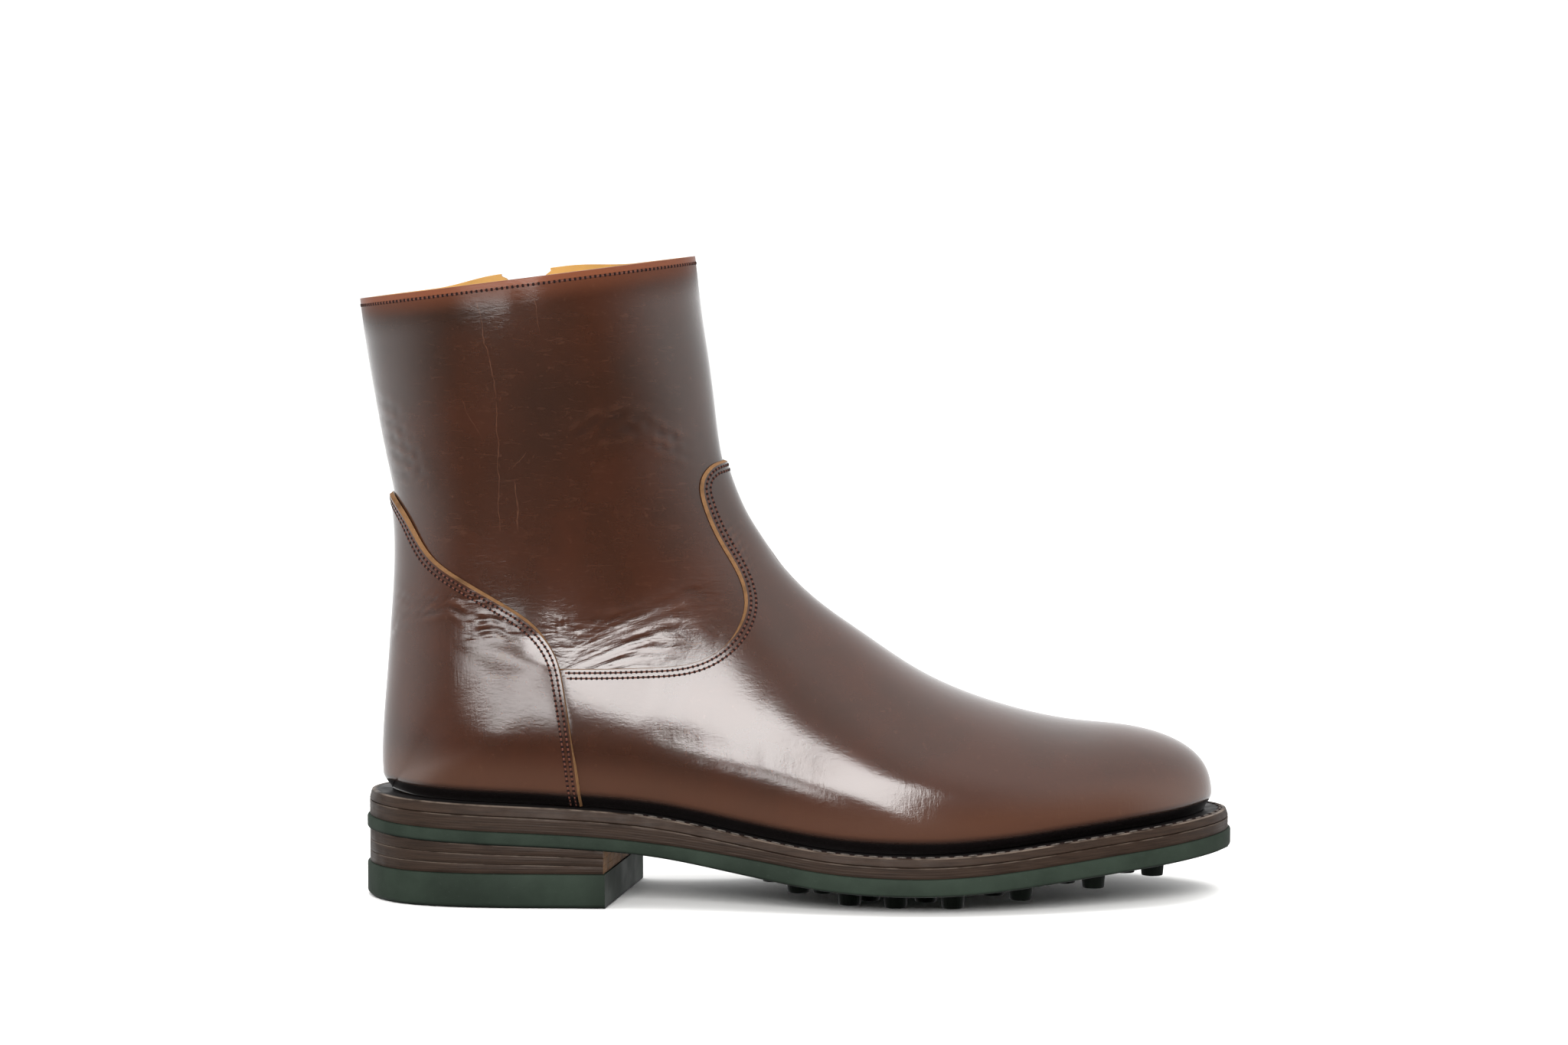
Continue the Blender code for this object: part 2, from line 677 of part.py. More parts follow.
def slot_outline():
    """Outline of the slot in the leather, flared to a notch at the collar."""
    length = float(np.linalg.norm(np.array(ZIP_TOP) - np.array(ZIP_END)))
    line = strip_outline(SLOT_HALF, SLOT_FLARE_DROP, length)[2:]
    up = zip_frame(0.0)[1]
    side = np.array((up[1], -up[0]))
    flare = []
    for share in np.linspace(0, 1, 6):
        half = SLOT_HALF + (SLOT_FLARE - SLOT_HALF) * (1 - math.sqrt(1 - share ** 2))
        flare.append((half, SLOT_FLARE_DROP * (1 - share) - 1.5 * share))
    right = [zip_frame(drop)[0] + half * side for half, drop in flare]
    left = [zip_frame(drop)[0] - half * side for half, drop in reversed(flare)]
    above = zip_frame(-16.0)[0]
    return line[1:] + right + [above + SLOT_FLARE * side, above - SLOT_FLARE * side] + left


def surface_at(x, z, offset):
    """Point and outward normal of the last's inner side at a place in side view."""
    rows = np.linspace(HEEL_ROW, len(GIRTHS) - 1, 240)
    across = np.linspace(0.05, 0.95, 240)
    grid = last_surface(rows[:, None], across[None, :])
    miss = np.hypot(grid[..., 0] - x, grid[..., 2] - z)
    i, j = np.unravel_index(np.argmin(miss), miss.shape)
    along = grid[i + 1, j] - grid[i - 1, j]
    over = grid[i, j + 1] - grid[i, j - 1]
    normal = np.cross(along, over)
    normal /= np.linalg.norm(normal)
    normal *= np.sign(normal[1])
    return grid[i, j] + offset * normal, normal


def loft(name, rings, matrix, shade):
    """A solid through rings of points in a local frame, in millimetres, placed by a matrix."""
    count = len(rings[0])
    points = [tuple(c * MM for c in point) for ring in rings for point in ring]
    faces = [tuple(range(count)), tuple(range(len(points) - 1, len(points) - 1 - count, -1))]
    for k in range(len(rings) - 1):
        for i in range(count):
            j = (i + 1) % count
            faces.append((k * count + i, (k + 1) * count + i, (k + 1) * count + j, k * count + j))
    thing = add_object(name, points, faces, shade)
    turn_outward(thing)
    thing.matrix_world = matrix
    return thing


def pull_matrix(centre, side, up, outward):
    """A frame whose x runs across the zip, y up it and z out of the leather."""
    axes = Matrix((side, up, outward)).transposed().to_4x4()
    axes.translation = Vector(metres(centre))
    return axes


def zip_axes():
    """Place and directions of the slider: centre on the leather, across, up and outward."""
    line, up = zip_frame(SLIDER_DROP)
    centre, outward = surface_at(line[0], line[1], 0.0)
    upward = np.array((up[0], 0.0, up[1]))
    upward -= outward * upward.dot(outward)
    upward /= np.linalg.norm(upward)
    side = np.cross(upward, outward)
    return centre, side, upward, outward


def build_slider(metal):
    """Slider body with its bridge; the body lies over the chain."""
    centre, side, up, outward = zip_axes()
    base = centre + (CHAIN_RISE + GAP + 0.2) * outward
    place = pull_matrix(base, side, up, outward)
    half = SLIDER_LONG / 2
    wide = SLIDER_WIDE / 2
    nose = SLIDER_NOSE / 2
    shield = [(-nose, -half), (nose, -half), (wide, 0.1 * half), (wide, 0.8 * half), (wide - 1.2, half),
              (-wide + 1.2, half), (-wide, 0.8 * half), (-wide, 0.1 * half)]
    rings = []
    for inset, z in ((0.0, 0.0), (0.0, SLIDER_THICK - 0.6), (0.9, SLIDER_THICK)):
        rings.append([(x * (1 - inset / wide), y * (1 - inset / half), z) for x, y in shield])
    slider = loft("zip_slider", rings, place, metal)
    top = SLIDER_THICK + BRIDGE_CLEAR
    reach = BRIDGE_LONG / 2
    profile = [(-reach, SLIDER_THICK - 0.5), (-reach, top), (-reach + 1.0, top + BRIDGE_BAR),
               (reach - 1.0, top + BRIDGE_BAR), (reach, top), (reach, SLIDER_THICK - 0.5),
               (reach - BRIDGE_BAR, SLIDER_THICK - 0.5), (reach - BRIDGE_BAR, top),
               (-reach + BRIDGE_BAR, top), (-reach + BRIDGE_BAR, SLIDER_THICK - 0.5)]
    sides = [[(x, y, z) for y, z in profile] for x in (-BRIDGE_WIDE / 2, BRIDGE_WIDE / 2)]
    bridge = loft("bridge_former", sides, place, None)
    bridge.hide_render = True
    bridge.display_type = "WIRE"
    boolean(slider, bridge, "UNION")
    return base + (SLIDER_THICK + BRIDGE_CLEAR / 2) * outward, side, outward


def build_pull(metal, axis_point, side, outward):
    """Pull tab hanging from the bridge; its origin lies on its axis."""
    down = np.array((0.0, 0.0, -1.0))
    down -= side * down.dot(side)
    down /= np.linalg.norm(down)
    out = np.cross(side, -down)
    out *= np.sign(out.dot(outward))
    place = pull_matrix(axis_point, np.cross(-down, out), -down, out)
    wide = PULL_WIDE / 2
    low = -PULL_LONG
    outline = [(-wide + 1.4, 0.9), (wide - 1.4, 0.9), (wide - 0.8, -1.0), (wide, low * 0.4), (wide, low + 2.5),
               (wide - 2.4, low), (-wide + 2.4, low), (-wide, low + 2.5), (-wide, low * 0.4),
               (-wide + 0.8, -1.0)]
    rings = [[(x, y, z) for x, y in outline] for z in (-PULL_THICK / 2, PULL_THICK / 2)]
    pull = loft("zip_pull", rings, place, metal)
    eye_half = PULL_EYE_WIDE / 2
    eye = [(-eye_half, -0.9), (eye_half, -0.9), (eye_half, -PULL_EYE_LONG), (-eye_half, -PULL_EYE_LONG)]
    rings = [[(x, y, z) for x, y in eye] for z in (-PULL_THICK, PULL_THICK)]
    hole = loft("eye_former", rings, place, None)
    hole.hide_render = True
    hole.display_type = "WIRE"
    boolean(pull, hole, "DIFFERENCE")


def build_zip(last):
    length = float(np.linalg.norm(np.array(ZIP_TOP) - np.array(ZIP_END)))
    fabric = material("zip tape fabric", (0.05, 0.035, 0.03), 0.9)
    metal = material("zip metal", (0.16, 0.15, 0.14), 0.35, 1.0)
    tape_face = -WALL - GAP
    patch = last.patch(*ZIP_PATCH)
    tape = shell("zip_tape", last, tape_face - TAPE_THICK, tape_face, fabric, patch)
    tape_line = strip_outline(TAPE_HALF, TAPE_SHORT, length - TAPE_HALF / 2)
    boolean(tape, prism("tape_former", tape_line, 12.0, 90.0), "INTERSECT")
    chain = shell("zip_chain", last, -WALL, CHAIN_RISE, metal, patch)
    boolean(chain, prism("chain_former", strip_outline(CHAIN_HALF, TAPE_SHORT, length), 12.0, 90.0), "INTERSECT")
    axis_point, side, outward = build_slider(metal)
    build_pull(metal, axis_point, side, outward)


def build_upper():
    last = Last()
    slot = prism("slot_former", slot_outline(), 14.0, 90.0)
    upper = shell("upper", last, -WALL, 0.0, material("shaft leather", (0.11, 0.032, 0.016), 0.35))
    boolean(upper, slot, "DIFFERENCE")
    seam = smooth_line(COUNTER_SEAM, SEAM_STEPS)
    vamp_edge = smooth_line(VAMP_SEAM, SEAM_STEPS)
    ahead = shifted(seam, GAP)
    lower = ahead[ahead[:, 1] < VAMP_SEAM[0].z - 0.5]
    front = [tuple(p) for p in lower] + [tuple(p) for p in vamp_edge] + [(340.0, 156.0), (340.0, 15.0)]
    vamp = shell("vamp", last, GAP, VAMP_LAYER, material("vamp leather", (0.12, 0.034, 0.016), 0.3))
    boolean(vamp, prism("vamp_former", front, -90.0, 90.0), "INTERSECT")
    boolean(vamp, slot, "DIFFERENCE")
    rear = [tuple(p) for p in seam] + [(-30.0, 153.0), (-30.0, 15.0)]
    counter = shell("heel_counter", last, GAP, COUNTER_LAYER, material("counter leather", (0.12, 0.034, 0.016), 0.3))
    boolean(counter, prism("counter_former", rear, -90.0, 90.0), "INTERSECT")
    boolean(counter, slot, "DIFFERENCE")
    build_zip(last)


def main():
    for thing in list(bpy.data.objects):
        bpy.data.objects.remove(thing, do_unlink=True)
    build_sole()
    build_upper()


main()
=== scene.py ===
"""Dresses the side-zip boot for the right foot: leather, lining, seams, sole, heel, zip and a plain studio.

Tables and sizes are in millimetres, in the boot's own sizes: x runs forward from the rear end of the sole,
y to the inner (medial) side and z up from the floor. metres() carries them into the frame.
"""

import math
from collections import namedtuple
from contextlib import contextmanager

import bpy
import numpy as np
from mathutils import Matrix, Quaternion, Vector, kdtree


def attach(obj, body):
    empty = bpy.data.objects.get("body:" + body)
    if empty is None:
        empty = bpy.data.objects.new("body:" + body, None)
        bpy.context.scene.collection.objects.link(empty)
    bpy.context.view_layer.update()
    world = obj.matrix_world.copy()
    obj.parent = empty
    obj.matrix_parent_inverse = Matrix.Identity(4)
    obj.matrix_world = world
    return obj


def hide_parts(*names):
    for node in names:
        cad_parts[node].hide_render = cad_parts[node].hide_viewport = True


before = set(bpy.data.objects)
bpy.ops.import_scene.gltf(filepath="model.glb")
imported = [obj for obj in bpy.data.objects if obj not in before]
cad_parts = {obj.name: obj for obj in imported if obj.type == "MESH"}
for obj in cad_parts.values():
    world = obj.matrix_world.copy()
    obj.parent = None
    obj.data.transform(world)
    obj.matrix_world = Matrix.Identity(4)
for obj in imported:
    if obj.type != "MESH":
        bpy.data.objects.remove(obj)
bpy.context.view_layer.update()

bl_info = {
    "name": "Side-zip boot",
    "version": (1, 0, 0),
    "blender": (4, 5, 0),
    "location": "3D View > Sidebar > Boot",
    "description": "Builds the pieces of a side-zip ankle boot over its packed model",
    "category": "Object",
}

MM = 0.001
FRAME_X = 154.3          # the frame's origin in the tables' sizes
FRAME_Y = 0.15
GAP = 0.3                # between the leather and what it lies on
WALL = 2.2               # leather and lining of the upper together
WELT_REACH = 8.2         # the sole's edge outside the feather line
WELT_LAP = 7.0           # the welt's run inside the feather line
WELT_GROOVE = 4.4        # the welt's stitch groove outside the feather line
GROOVE_HALF = 0.5        # half its width
GROOVE_DEPTH = 0.25
INSOLE_INSET = 3.6
INSOLE_THICK = 3.5
CAMBER = 1.6             # the outsole's middle hangs this far below its edge
LUG_HEIGHT = 5.0
LUG_RADIUS = 4.6
LUG_TAPER = 0.83         # a lug's foot as a share of its root
LUG_FLAT = 1.1           # lugs that would end lower than this stand on the floor
LUG_SPACE = 15.0
LUG_STAGGER = 4.5
LUG_SIDES = 20
LUG_BEVEL = 0.12
TOP_PIECE = 12.0
HEEL_LIFTS = 3
LIFT_GAP = 0.03          # left at the top and foot of each lift
BREAST_LATERAL = 86.0
BREAST_MEDIAL = 97.0
SIDE_WEAR = 0.35         # wear of the layers' upper edges, where the welt's is 1
BREAST_STEP = 0.6        # the top piece runs this far in front of the lifts
PLY_GAP = 0.05           # left between two layers of the sole
SOLE_STATIONS = 220      # steps along the boot
HEEL_STATIONS = 120
INSOLE_STATIONS = 160
OUTLINE_STEPS = 2400

# Feather line, where the upper meets the welt, seen from above
Plan = namedtuple("Plan", "x lateral medial")
FEATHER_REAR = 8.2
FEATHER_TOE = 301.6
TOE_LEAN = 4.0
FEATHER = (
    Plan(11.0, 10.9, 10.6),
    Plan(17.0, 18.6, 17.6),
    Plan(27.0, 24.0, 23.0),
    Plan(42.0, 27.4, 26.0),
    Plan(62.0, 28.8, 26.2),
    Plan(86.0, 29.6, 24.4),
    Plan(110.0, 31.4, 22.8),
    Plan(135.0, 35.6, 24.8),
    Plan(160.0, 41.0, 31.8),
    Plan(185.0, 45.2, 40.2),
    Plan(205.0, 45.9, 44.8),
    Plan(225.0, 43.6, 46.2),
    Plan(245.0, 39.0, 44.4),
    Plan(264.0, 32.6, 40.2),
    Plan(279.0, 26.0, 34.2),
    Plan(290.5, 17.4, 25.4),
    Plan(298.0, 8.2, 16.2),
)

# Lower edge of the outsole's side, seen from the side
Edge = namedtuple("Edge", "x z")
SOLE_EDGE = (
    Edge(-2.0, 24.3),
    Edge(40.0, 22.4),
    Edge(86.0, 20.2),
    Edge(107.0, 17.9),
    Edge(125.0, 14.7),
    Edge(143.0, 11.3),
    Edge(165.0, 7.9),
    Edge(185.0, 6.7),
    Edge(200.0, 6.6),
    Edge(222.0, 7.9),
    Edge(249.0, 11.0),
    Edge(277.0, 14.1),
    Edge(312.0, 17.4),
)

# Thickness of each sole layer under the heel and under the forefoot
Layer = namedtuple("Layer", "heel forefoot inset")
OUTSOLE = Layer(4.6, 6.2, 0.0)
MIDSOLE = Layer(5.4, 4.0, 0.9)
WELT = Layer(3.8, 3.2, 1.5)
LAYERS_START = 95.0
LAYERS_END = 150.0

# Girth sections of the last from the toe to the collar, each a plane from a point under the foot to one on
# the ridge of toe, instep and shin
Girth = namedtuple("Girth", "name under_x under_z over_x over_z lateral medial ridge fullness")
FEATHER_Z = None
GIRTHS = (
    Girth("toe edge", 283.0, FEATHER_Z, 301.6, 30.4, 17.6, 21.6, 4.0, 1.0),
    Girth("toe rise", 279.5, FEATHER_Z, 301.2, 39.0, 20.8, 24.6, 4.0, 1.1),
    Girth("toe shoulder", 273.0, FEATHER_Z, 297.8, 46.8, 24.9, 28.8, 4.1, 1.2),
    Girth("toe crown", 263.0, FEATHER_Z, 288.0, 53.8, 30.5, 33.6, 4.2, 1.3),
    Girth("toe top", 250.0, FEATHER_Z, 271.2, 58.2, 35.6, 37.6, 4.4, 1.4),
    Girth("toe break", 233.0, FEATHER_Z, 250.0, 60.4, 40.4, 40.6, 4.7, 1.45),
    Girth("vamp point", 214.0, FEATHER_Z, 225.0, 66.4, 42.6, 41.4, 5.0, 1.4),
    Girth("ball", 194.0, FEATHER_Z, 200.0, 76.6, 41.6, 39.8, 5.3, 1.25),
    Girth("waist", 172.0, FEATHER_Z, 178.5, 90.4, 38.4, 36.6, 5.2, 1.12),
    Girth("low instep", 148.0, FEATHER_Z, 162.0, 102.4, 34.6, 33.6, 4.8, 1.05),
    Girth("instep", 120.0, FEATHER_Z, 149.2, 114.6, 31.8, 31.4, 4.2, 1.0),
    Girth("high instep", 90.0, FEATHER_Z, 140.6, 126.2, 30.4, 30.4, 3.6, 1.0),
    Girth("short heel", 58.0, FEATHER_Z, 134.6, 136.0, 30.2, 30.4, 3.0, 1.0),
    Girth("heel girth", 27.0, FEATHER_Z, 130.8, 144.6, 30.6, 30.8, 2.4, 1.0),
    Girth("long heel", 8.2, FEATHER_Z, 128.4, 151.4, 31.0, 31.2, 2.0, 1.0),
    Girth("heel curve", 7.3, 52.0, 127.1, 156.6, 31.2, 31.4, 1.8, 1.0),
    Girth("above heel", 8.9, 76.0, 126.1, 162.6, 32.0, 32.2, 1.6, 1.0),
    Girth("ankle", 11.2, 105.0, 125.1, 170.4, 34.2, 34.2, 1.3, 1.0),
    Girth("low shaft", 11.8, 133.0, 123.9, 181.0, 37.6, 37.4, 1.0, 1.0),
    Girth("mid shaft", 7.8, 157.0, 122.3, 193.0, 41.2, 40.8, 0.7, 1.0),
    Girth("high shaft", 3.6, 180.0, 120.4, 205.4, 44.6, 44.0, 0.4, 1.0),
    Girth("under collar", 0.3, 200.2, 118.9, 218.2, 47.4, 46.8, 0.2, 1.0),
    Girth("collar", -1.2, 212.8, 117.8, 227.8, 48.2, 47.6, 0.0, 1.0),
)
HEEL_ROW = 14            # from this section on, the sections close at the back seam
SIDE_SWELL = 0.085       # heel and waist are wider by this share a little above the welt
SWELL_FULL = 26.0        # heights above the welt where it is full and where it ends
SWELL_END = 75.0
SWELL_FADE = 150.0       # it fades from here to the front of the ball
SWELL_FRONT = 245.0
TOP_ROW = len(GIRTHS) - 1

# Cut edges of the overlays, seen from the side
VAMP_SEAM = (
    Edge(72.2, 84.3),
    Edge(88.0, 84.2),
    Edge(102.9, 84.5),
    Edge(120.2, 86.9),
    Edge(130.8, 94.3),
    Edge(135.3, 104.8),
    Edge(133.4, 114.1),
    Edge(126.8, 125.9),
    Edge(120.7, 139.6),
    Edge(119.8, 148.9),
    Edge(123.9, 154.2),
    Edge(130.5, 155.2),
    Edge(142.0, 155.6),
)
COUNTER_SEAM = (
    Edge(79.8, 20.0),
    Edge(78.2, 37.5),
    Edge(75.2, 61.5),
    Edge(72.6, 77.7),
    Edge(70.3, 87.1),
    Edge(62.8, 98.2),
    Edge(49.4, 107.6),
    Edge(35.9, 115.4),
    Edge(25.4, 123.1),
    Edge(17.5, 135.1),
    Edge(10.6, 144.0),
    Edge(2.0, 153.0),
)
SEAM_STEPS = 90
VAMP_UNDER = 5.0         # the vamp runs on this far under the counter, skived thin
LAP_END = 24.0           # the counter comes down to the shaft this far inside its edge
LAP_RISE = 12.0          # and this far above the vamp's corner, its inner face sooner
LAP_RISE_INNER = 2.0
LAP_GAP = 0.15
OVERLAY_BASE = 0.3       # inner face of an overlay above the upper
VAMP_THICK = 1.2
COUNTER_THICK = 1.5
RAW_EDGE = 0.8           # width of an overlay's slanted cut edge, steeper where the seams meet
RAW_STEEP = 0.3
STEEP_LOW = (46.0, 60.0)     # heights over which it turns steep, and slanted again
STEEP_HIGH = (100.0, 90.0)
SEAM_ROWS = (2.0, 3.9)   # stitch rows inside an overlay's edge
COLLAR_ROW = 2.5         # stitch row below the collar
ZIP_ROWS = (2.0, 4.2)    # stitch rows beside the zip's slot
ZIP_STITCH = 1.2         # a zip stitch's pitch as a share of a seam stitch's
WELT_ROW_START = 96.0    # the welt's stitch row starts and ends here
WELT_PITCH = 4.9
WELT_STITCH = 1.1
STITCH_LENGTH = 0.7      # a stitch's length as a share of its pitch
STITCH_HEIGHT = 0.6      # a stitch's height and a needle hole's width as shares of the stitch's width
HOLE_WIDTH = 1.7
HOLE_SHAPE = (1.0, 1.1, 0.3)
STITCH_LIFT = 0.02       # middles of stitches and holes above the leather
HOLE_LIFT = 0.04
RING_START = 11.5        # from this row on, the points of a section spread as round a ring
JOIN_BLUR = 1.4          # rows over which the foot's sections run into the leg's
JOIN_STEPS = 21
COLLAR_RISE = 2.2        # the collar's inner side stands higher beside the zip, over these rows and places
COLLAR_RISE_ROWS = 1.5
COLLAR_RISE_REAR = (22.0, 44.0)
COLLAR_RISE_FRONT = (96.0, 70.0)
COLLAR_ROUND = 0.75
SHAFT_ROW = 18           # rows from here on are on the shaft
INNER_Y = 10.0           # the inner side lies beyond this
FAR = 99.0               # a distance that stands for elsewhere
TUCK = 2.6               # how far the leather turns in above the welt
TUCK_HIGH = 6.5

# Zip on the inner side
ZIP_TOP = Edge(55.0, 219.6)
ZIP_END = Edge(72.0, 62.0)
SLOT_HALF = 5.5
SLOT_FLARE = 9.0
SLOT_FLARE_DROP = 6.0
SLOT_CUT = (14.0, 90.0)  # reach of the slot's cutter across the boot
SLOT_CLEAR = 1.2         # stitch rows end this far from the slot
TAPE_HALF = 13.0
TAPE_THICK = 0.8
TAPE_SHORT = 6.0
TOOTH_PITCH = 2.4
TOOTH_SIZE = (3.6, 1.5, 2.2)
TOOTH_BEVEL = 0.3
TOOTH_SIDE = 1.15        # middle of a tooth beside the zip's line, and below the leather's face
TOOTH_SINK = 0.95

LUG_ROWS = (
    Plan(150.0, 17.0, 12.0),
    Plan(168.0, 27.0, 22.0),
    Plan(184.0, 33.0, 29.0),
    Plan(204.0, 34.0, 34.0),
    Plan(228.0, 31.0, 33.0),
    Plan(254.0, 24.0, 27.0),
    Plan(276.0, 11.0, 13.0),
)

# Creases of the leather on the outer side, seen from the side. The inner side has them fainter and shifted.
Crease = namedtuple("Crease", "name width depth path")       # its path as (x, z) pairs
SHAFT_CREASES = (
    Crease("fold over the vamp, upper", 1.0, 0.22,
           ((66.0, 96.4), (74.2, 94.7), (80.7, 92.9), (87.1, 91.5), (96.3, 92.9),
            (105.4, 96.1), (114.6, 101.2), (125.0, 108.6))),
    Crease("fold over the vamp, lower", 1.0, 0.23,
           ((68.7, 92.6), (76.1, 90.4), (83.4, 88.2), (92.6, 86.9), (99.9, 88.0),
            (107.3, 92.3), (116.5, 98.6), (124.9, 103.6))),
    Crease("short fold between them", 0.8, 0.17,
           ((84.3, 89.9), (91.7, 89.5), (100.9, 91.0), (110.0, 94.9), (117.2, 99.2))),
    Crease("front fold", 0.9, 0.19,
           ((103.0, 98.6), (110.0, 101.6), (117.2, 105.4), (126.0, 112.6))),
    Crease("front fold, upper", 1.0, 0.16,
           ((100.0, 103.5), (111.0, 107.4), (119.5, 112.0), (126.0, 118.0))),
    Crease("fine fold at the seam", 0.7, 0.13,
           ((75.0, 87.6), (84.0, 86.0), (93.0, 84.6), (102.0, 86.0), (110.0, 89.4))),
    Crease("fine fold, front", 0.7, 0.14,
           ((106.0, 89.5), (113.5, 93.6), (120.0, 98.2), (126.6, 102.8))),
    Crease("fine fold, middle", 0.7, 0.13,
           ((71.0, 94.2), (79.5, 91.9), (88.0, 90.2), (97.0, 90.2), (104.0, 93.0))),
    Crease("rear fold", 0.9, 0.16,
           ((66.5, 100.2), (73.0, 98.2), (81.5, 96.6), (90.0, 96.4))),
    Crease("faint fold", 1.5, 0.16,
           ((78.0, 101.5), (90.0, 100.0), (101.0, 101.5))),
    Crease("mid shaft arch, upper", 1.3, 0.22,
           ((76.0, 167.8), (85.3, 171.0), (94.6, 172.6), (103.0, 171.0))),
    Crease("mid shaft arch", 1.3, 0.26,
           ((70.6, 162.4), (77.9, 166.3), (85.3, 168.6), (93.6, 169.5), (101.5, 167.6))),
    Crease("mid shaft arch, lower", 1.2, 0.20,
           ((72.4, 159.3), (80.7, 163.9), (88.9, 166.2), (97.2, 166.7), (103.6, 164.8))),
    Crease("front of the arch", 1.3, 0.24,
           ((99.9, 170.0), (108.2, 165.2), (117.3, 160.6))),
    Crease("front of the arch, lower", 1.2, 0.20,
           ((101.8, 163.0), (110.0, 160.0), (118.3, 156.5))),
    Crease("rear fan, top", 1.2, 0.24, ((5.0, 172.6), (13.0, 168.6), (20.4, 163.4))),
    Crease("rear fan", 1.2, 0.28, ((6.6, 166.8), (14.4, 162.8), (23.0, 157.0))),
    Crease("rear fan, low", 1.2, 0.26, ((7.2, 160.4), (15.4, 157.2), (25.0, 151.2))),
    Crease("rear fan, lowest", 1.2, 0.20, ((9.0, 153.2), (17.0, 151.0), (24.6, 152.2))),
    Crease("rear fan, high", 1.3, 0.20, ((3.6, 179.2), (10.0, 176.0), (17.4, 170.4))),
)
COUNTER_CREASES = (
    Crease("upper counter fold", 1.0, 0.19,
           ((10.0, 110.6), (21.0, 106.3), (28.3, 108.0), (35.7, 109.0), (43.9, 106.8))),
    Crease("middle counter fold", 1.0, 0.21,
           ((10.6, 98.0), (19.2, 102.6), (25.6, 102.8), (31.1, 104.9), (37.5, 102.7),
            (45.0, 101.9))),
    Crease("front counter fold", 0.9, 0.20,
           ((38.4, 98.4), (43.9, 101.0), (50.4, 100.1), (56.9, 97.4))),
    Crease("front counter fold, lower", 0.9, 0.18,
           ((38.3, 94.0), (45.8, 97.6), (52.2, 96.6), (58.7, 93.8))),
    Crease("rear counter fold", 1.0, 0.16, ((9.4, 92.4), (13.4, 96.4), (18.2, 98.9))),
)
VAMP_CREASES = (
    Crease("instep dip", 7.0, 0.50,
           ((139.0, 122.0), (146.0, 110.0), (156.0, 99.0), (168.0, 89.0))),
    Crease("side dip", 6.0, 0.35, ((98.0, 62.0), (120.0, 58.0), (142.0, 53.0))),
)
PUCKER_START = Edge(126.8, 131.2)
PUCKER_STEP = Edge(1.32, -2.6)
PUCKER_DEPTHS = (0.20, 0.26, 0.30, 0.32, 0.30, 0.26, 0.20)
PUCKER_WIDTH = 0.7
PUCKER_PATH = ((0.0, 0.0), (2.2, 0.8), (4.4, 2.2))
PUCKERS = tuple(
    Crease("pucker", PUCKER_WIDTH, depth, tuple((PUCKER_START.x + number * PUCKER_STEP.x + ahead,
                                                 PUCKER_START.z + number * PUCKER_STEP.z + up)
                                                for ahead, up in PUCKER_PATH))
    for number, depth in enumerate(PUCKER_DEPTHS))
WIDE_CREASE = 2.6        # wider ones are dips that don't darken
CREASE_SWELL = 0.45      # the low swelling beside a crease, as a share of its depth
CREASE_SWELL_AT = 2.1    # and its place, in widths of the crease
OUTER_SIDE = 2.0         # the outer side ends here, and the inner side's creases are moved and fainter
INNER_SHIFT = Edge(3.5, -2.5)
INNER_CREASE = 0.7
UNEVEN = 0.05            # height of the leather's slow waves
CREASE_WAVE = 0.25       # creases waver by this much, over this length
CREASE_WAVE_LENGTH = 9.0
FOLD_REACH = 6.0         # fine wrinkles round a crease reach this far

# Pale scars of the hide on the outer side of the shaft, from one end to the other
Scar = namedtuple("Scar", "low_x low_z high_x high_z width strength")
SCAR_TAPER = 3.0
SCARS = (
    Scar(49.9, 178.2, 43.2, 213.9, 0.30, 0.50),
    Scar(50.1, 131.6, 49.9, 178.2, 0.28, 0.45),
    Scar(65.1, 200.9, 63.6, 214.7, 0.28, 0.35),
    Scar(45.1, 164.6, 36.2, 180.0, 0.26, 0.30),
    Scar(56.9, 131.6, 55.6, 150.8, 0.30, 0.50),
    Scar(54.3, 153.5, 60.7, 160.9, 0.30, 0.45),
)

# Grids of the leather pieces: columns as (number, place across), rows as (first, last, steps)
UPPER_COLUMNS = ((0, -1.0), (146, 0.0), (206, 1.0))
VAMP_COLUMNS = ((0, -1.0), (110, 0.0), (196, 1.0))
COUNTER_COLUMNS = ((0, -1.0), (156, -0.42), (160, 0.42), (240, 1.0))
UPPER_ROWS = ((0, 13, 36), (13, 14, 9), (14, 16.6, 74), (16.6, 21.9, 70), (21.9, TOP_ROW, 5))
VAMP_ROWS = ((0, 7, 84), (7, 13, 90), (13, 14, 10), (14, 15.6, 22))
COUNTER_ROWS = ((10.6, 13, 60), (13, 14, 24), (14, 16.6, 84), (16.6, 19, 34))
RING_STEPS = 420         # steps round the welt, and of its stitch row's line
WELT_ROW_STEPS = 700

# Colours that need no setting
# Dark stain and painted shade on the welt's top
STAIN_AND_SHADE = (0.006, 0.005, 0.005)
RUBBER_DUST = (0.05, 0.06, 0.055)
# Painted shade of the needle holes
HOLE_SHADE_COLOURS = ((0.006, 0.003, 0.003), (0.014, 0.007, 0.006))

# Soft studio lights, in metres: each at a spot, turned to a point, its top leaning over to the right
SoftBox = namedtuple("SoftBox", "name spot aim wide high lean")
BOOT_MIDDLE = (0.0, 0.0, 0.09)
VAMP_BOX = SoftBox("vamp softbox", (-0.056, -0.8, 0.389), (-0.056, 0.0, 0.389), 0.28, 0.521, 0.38)
HEEL_BOX = SoftBox("heel softbox", (-0.55, -0.8, 0.08), (-0.55, 0.0, 0.08), 0.64, 0.12, 0.0)
FRONT_BOX = SoftBox("front softbox", (-0.25, -1.75, 1.0), BOOT_MIDDLE, 1.0, 0.8, 0.0)
TOP_BOX = SoftBox("overhead softbox", (0.15, 0.2, 1.9), BOOT_MIDDLE, 1.6, 1.2, 0.0)
LIGHT_COLOUR = (1.0, 0.99, 0.98)
HEEL_FADE = 0.65         # the heel's light fades out to its left over this share of its width
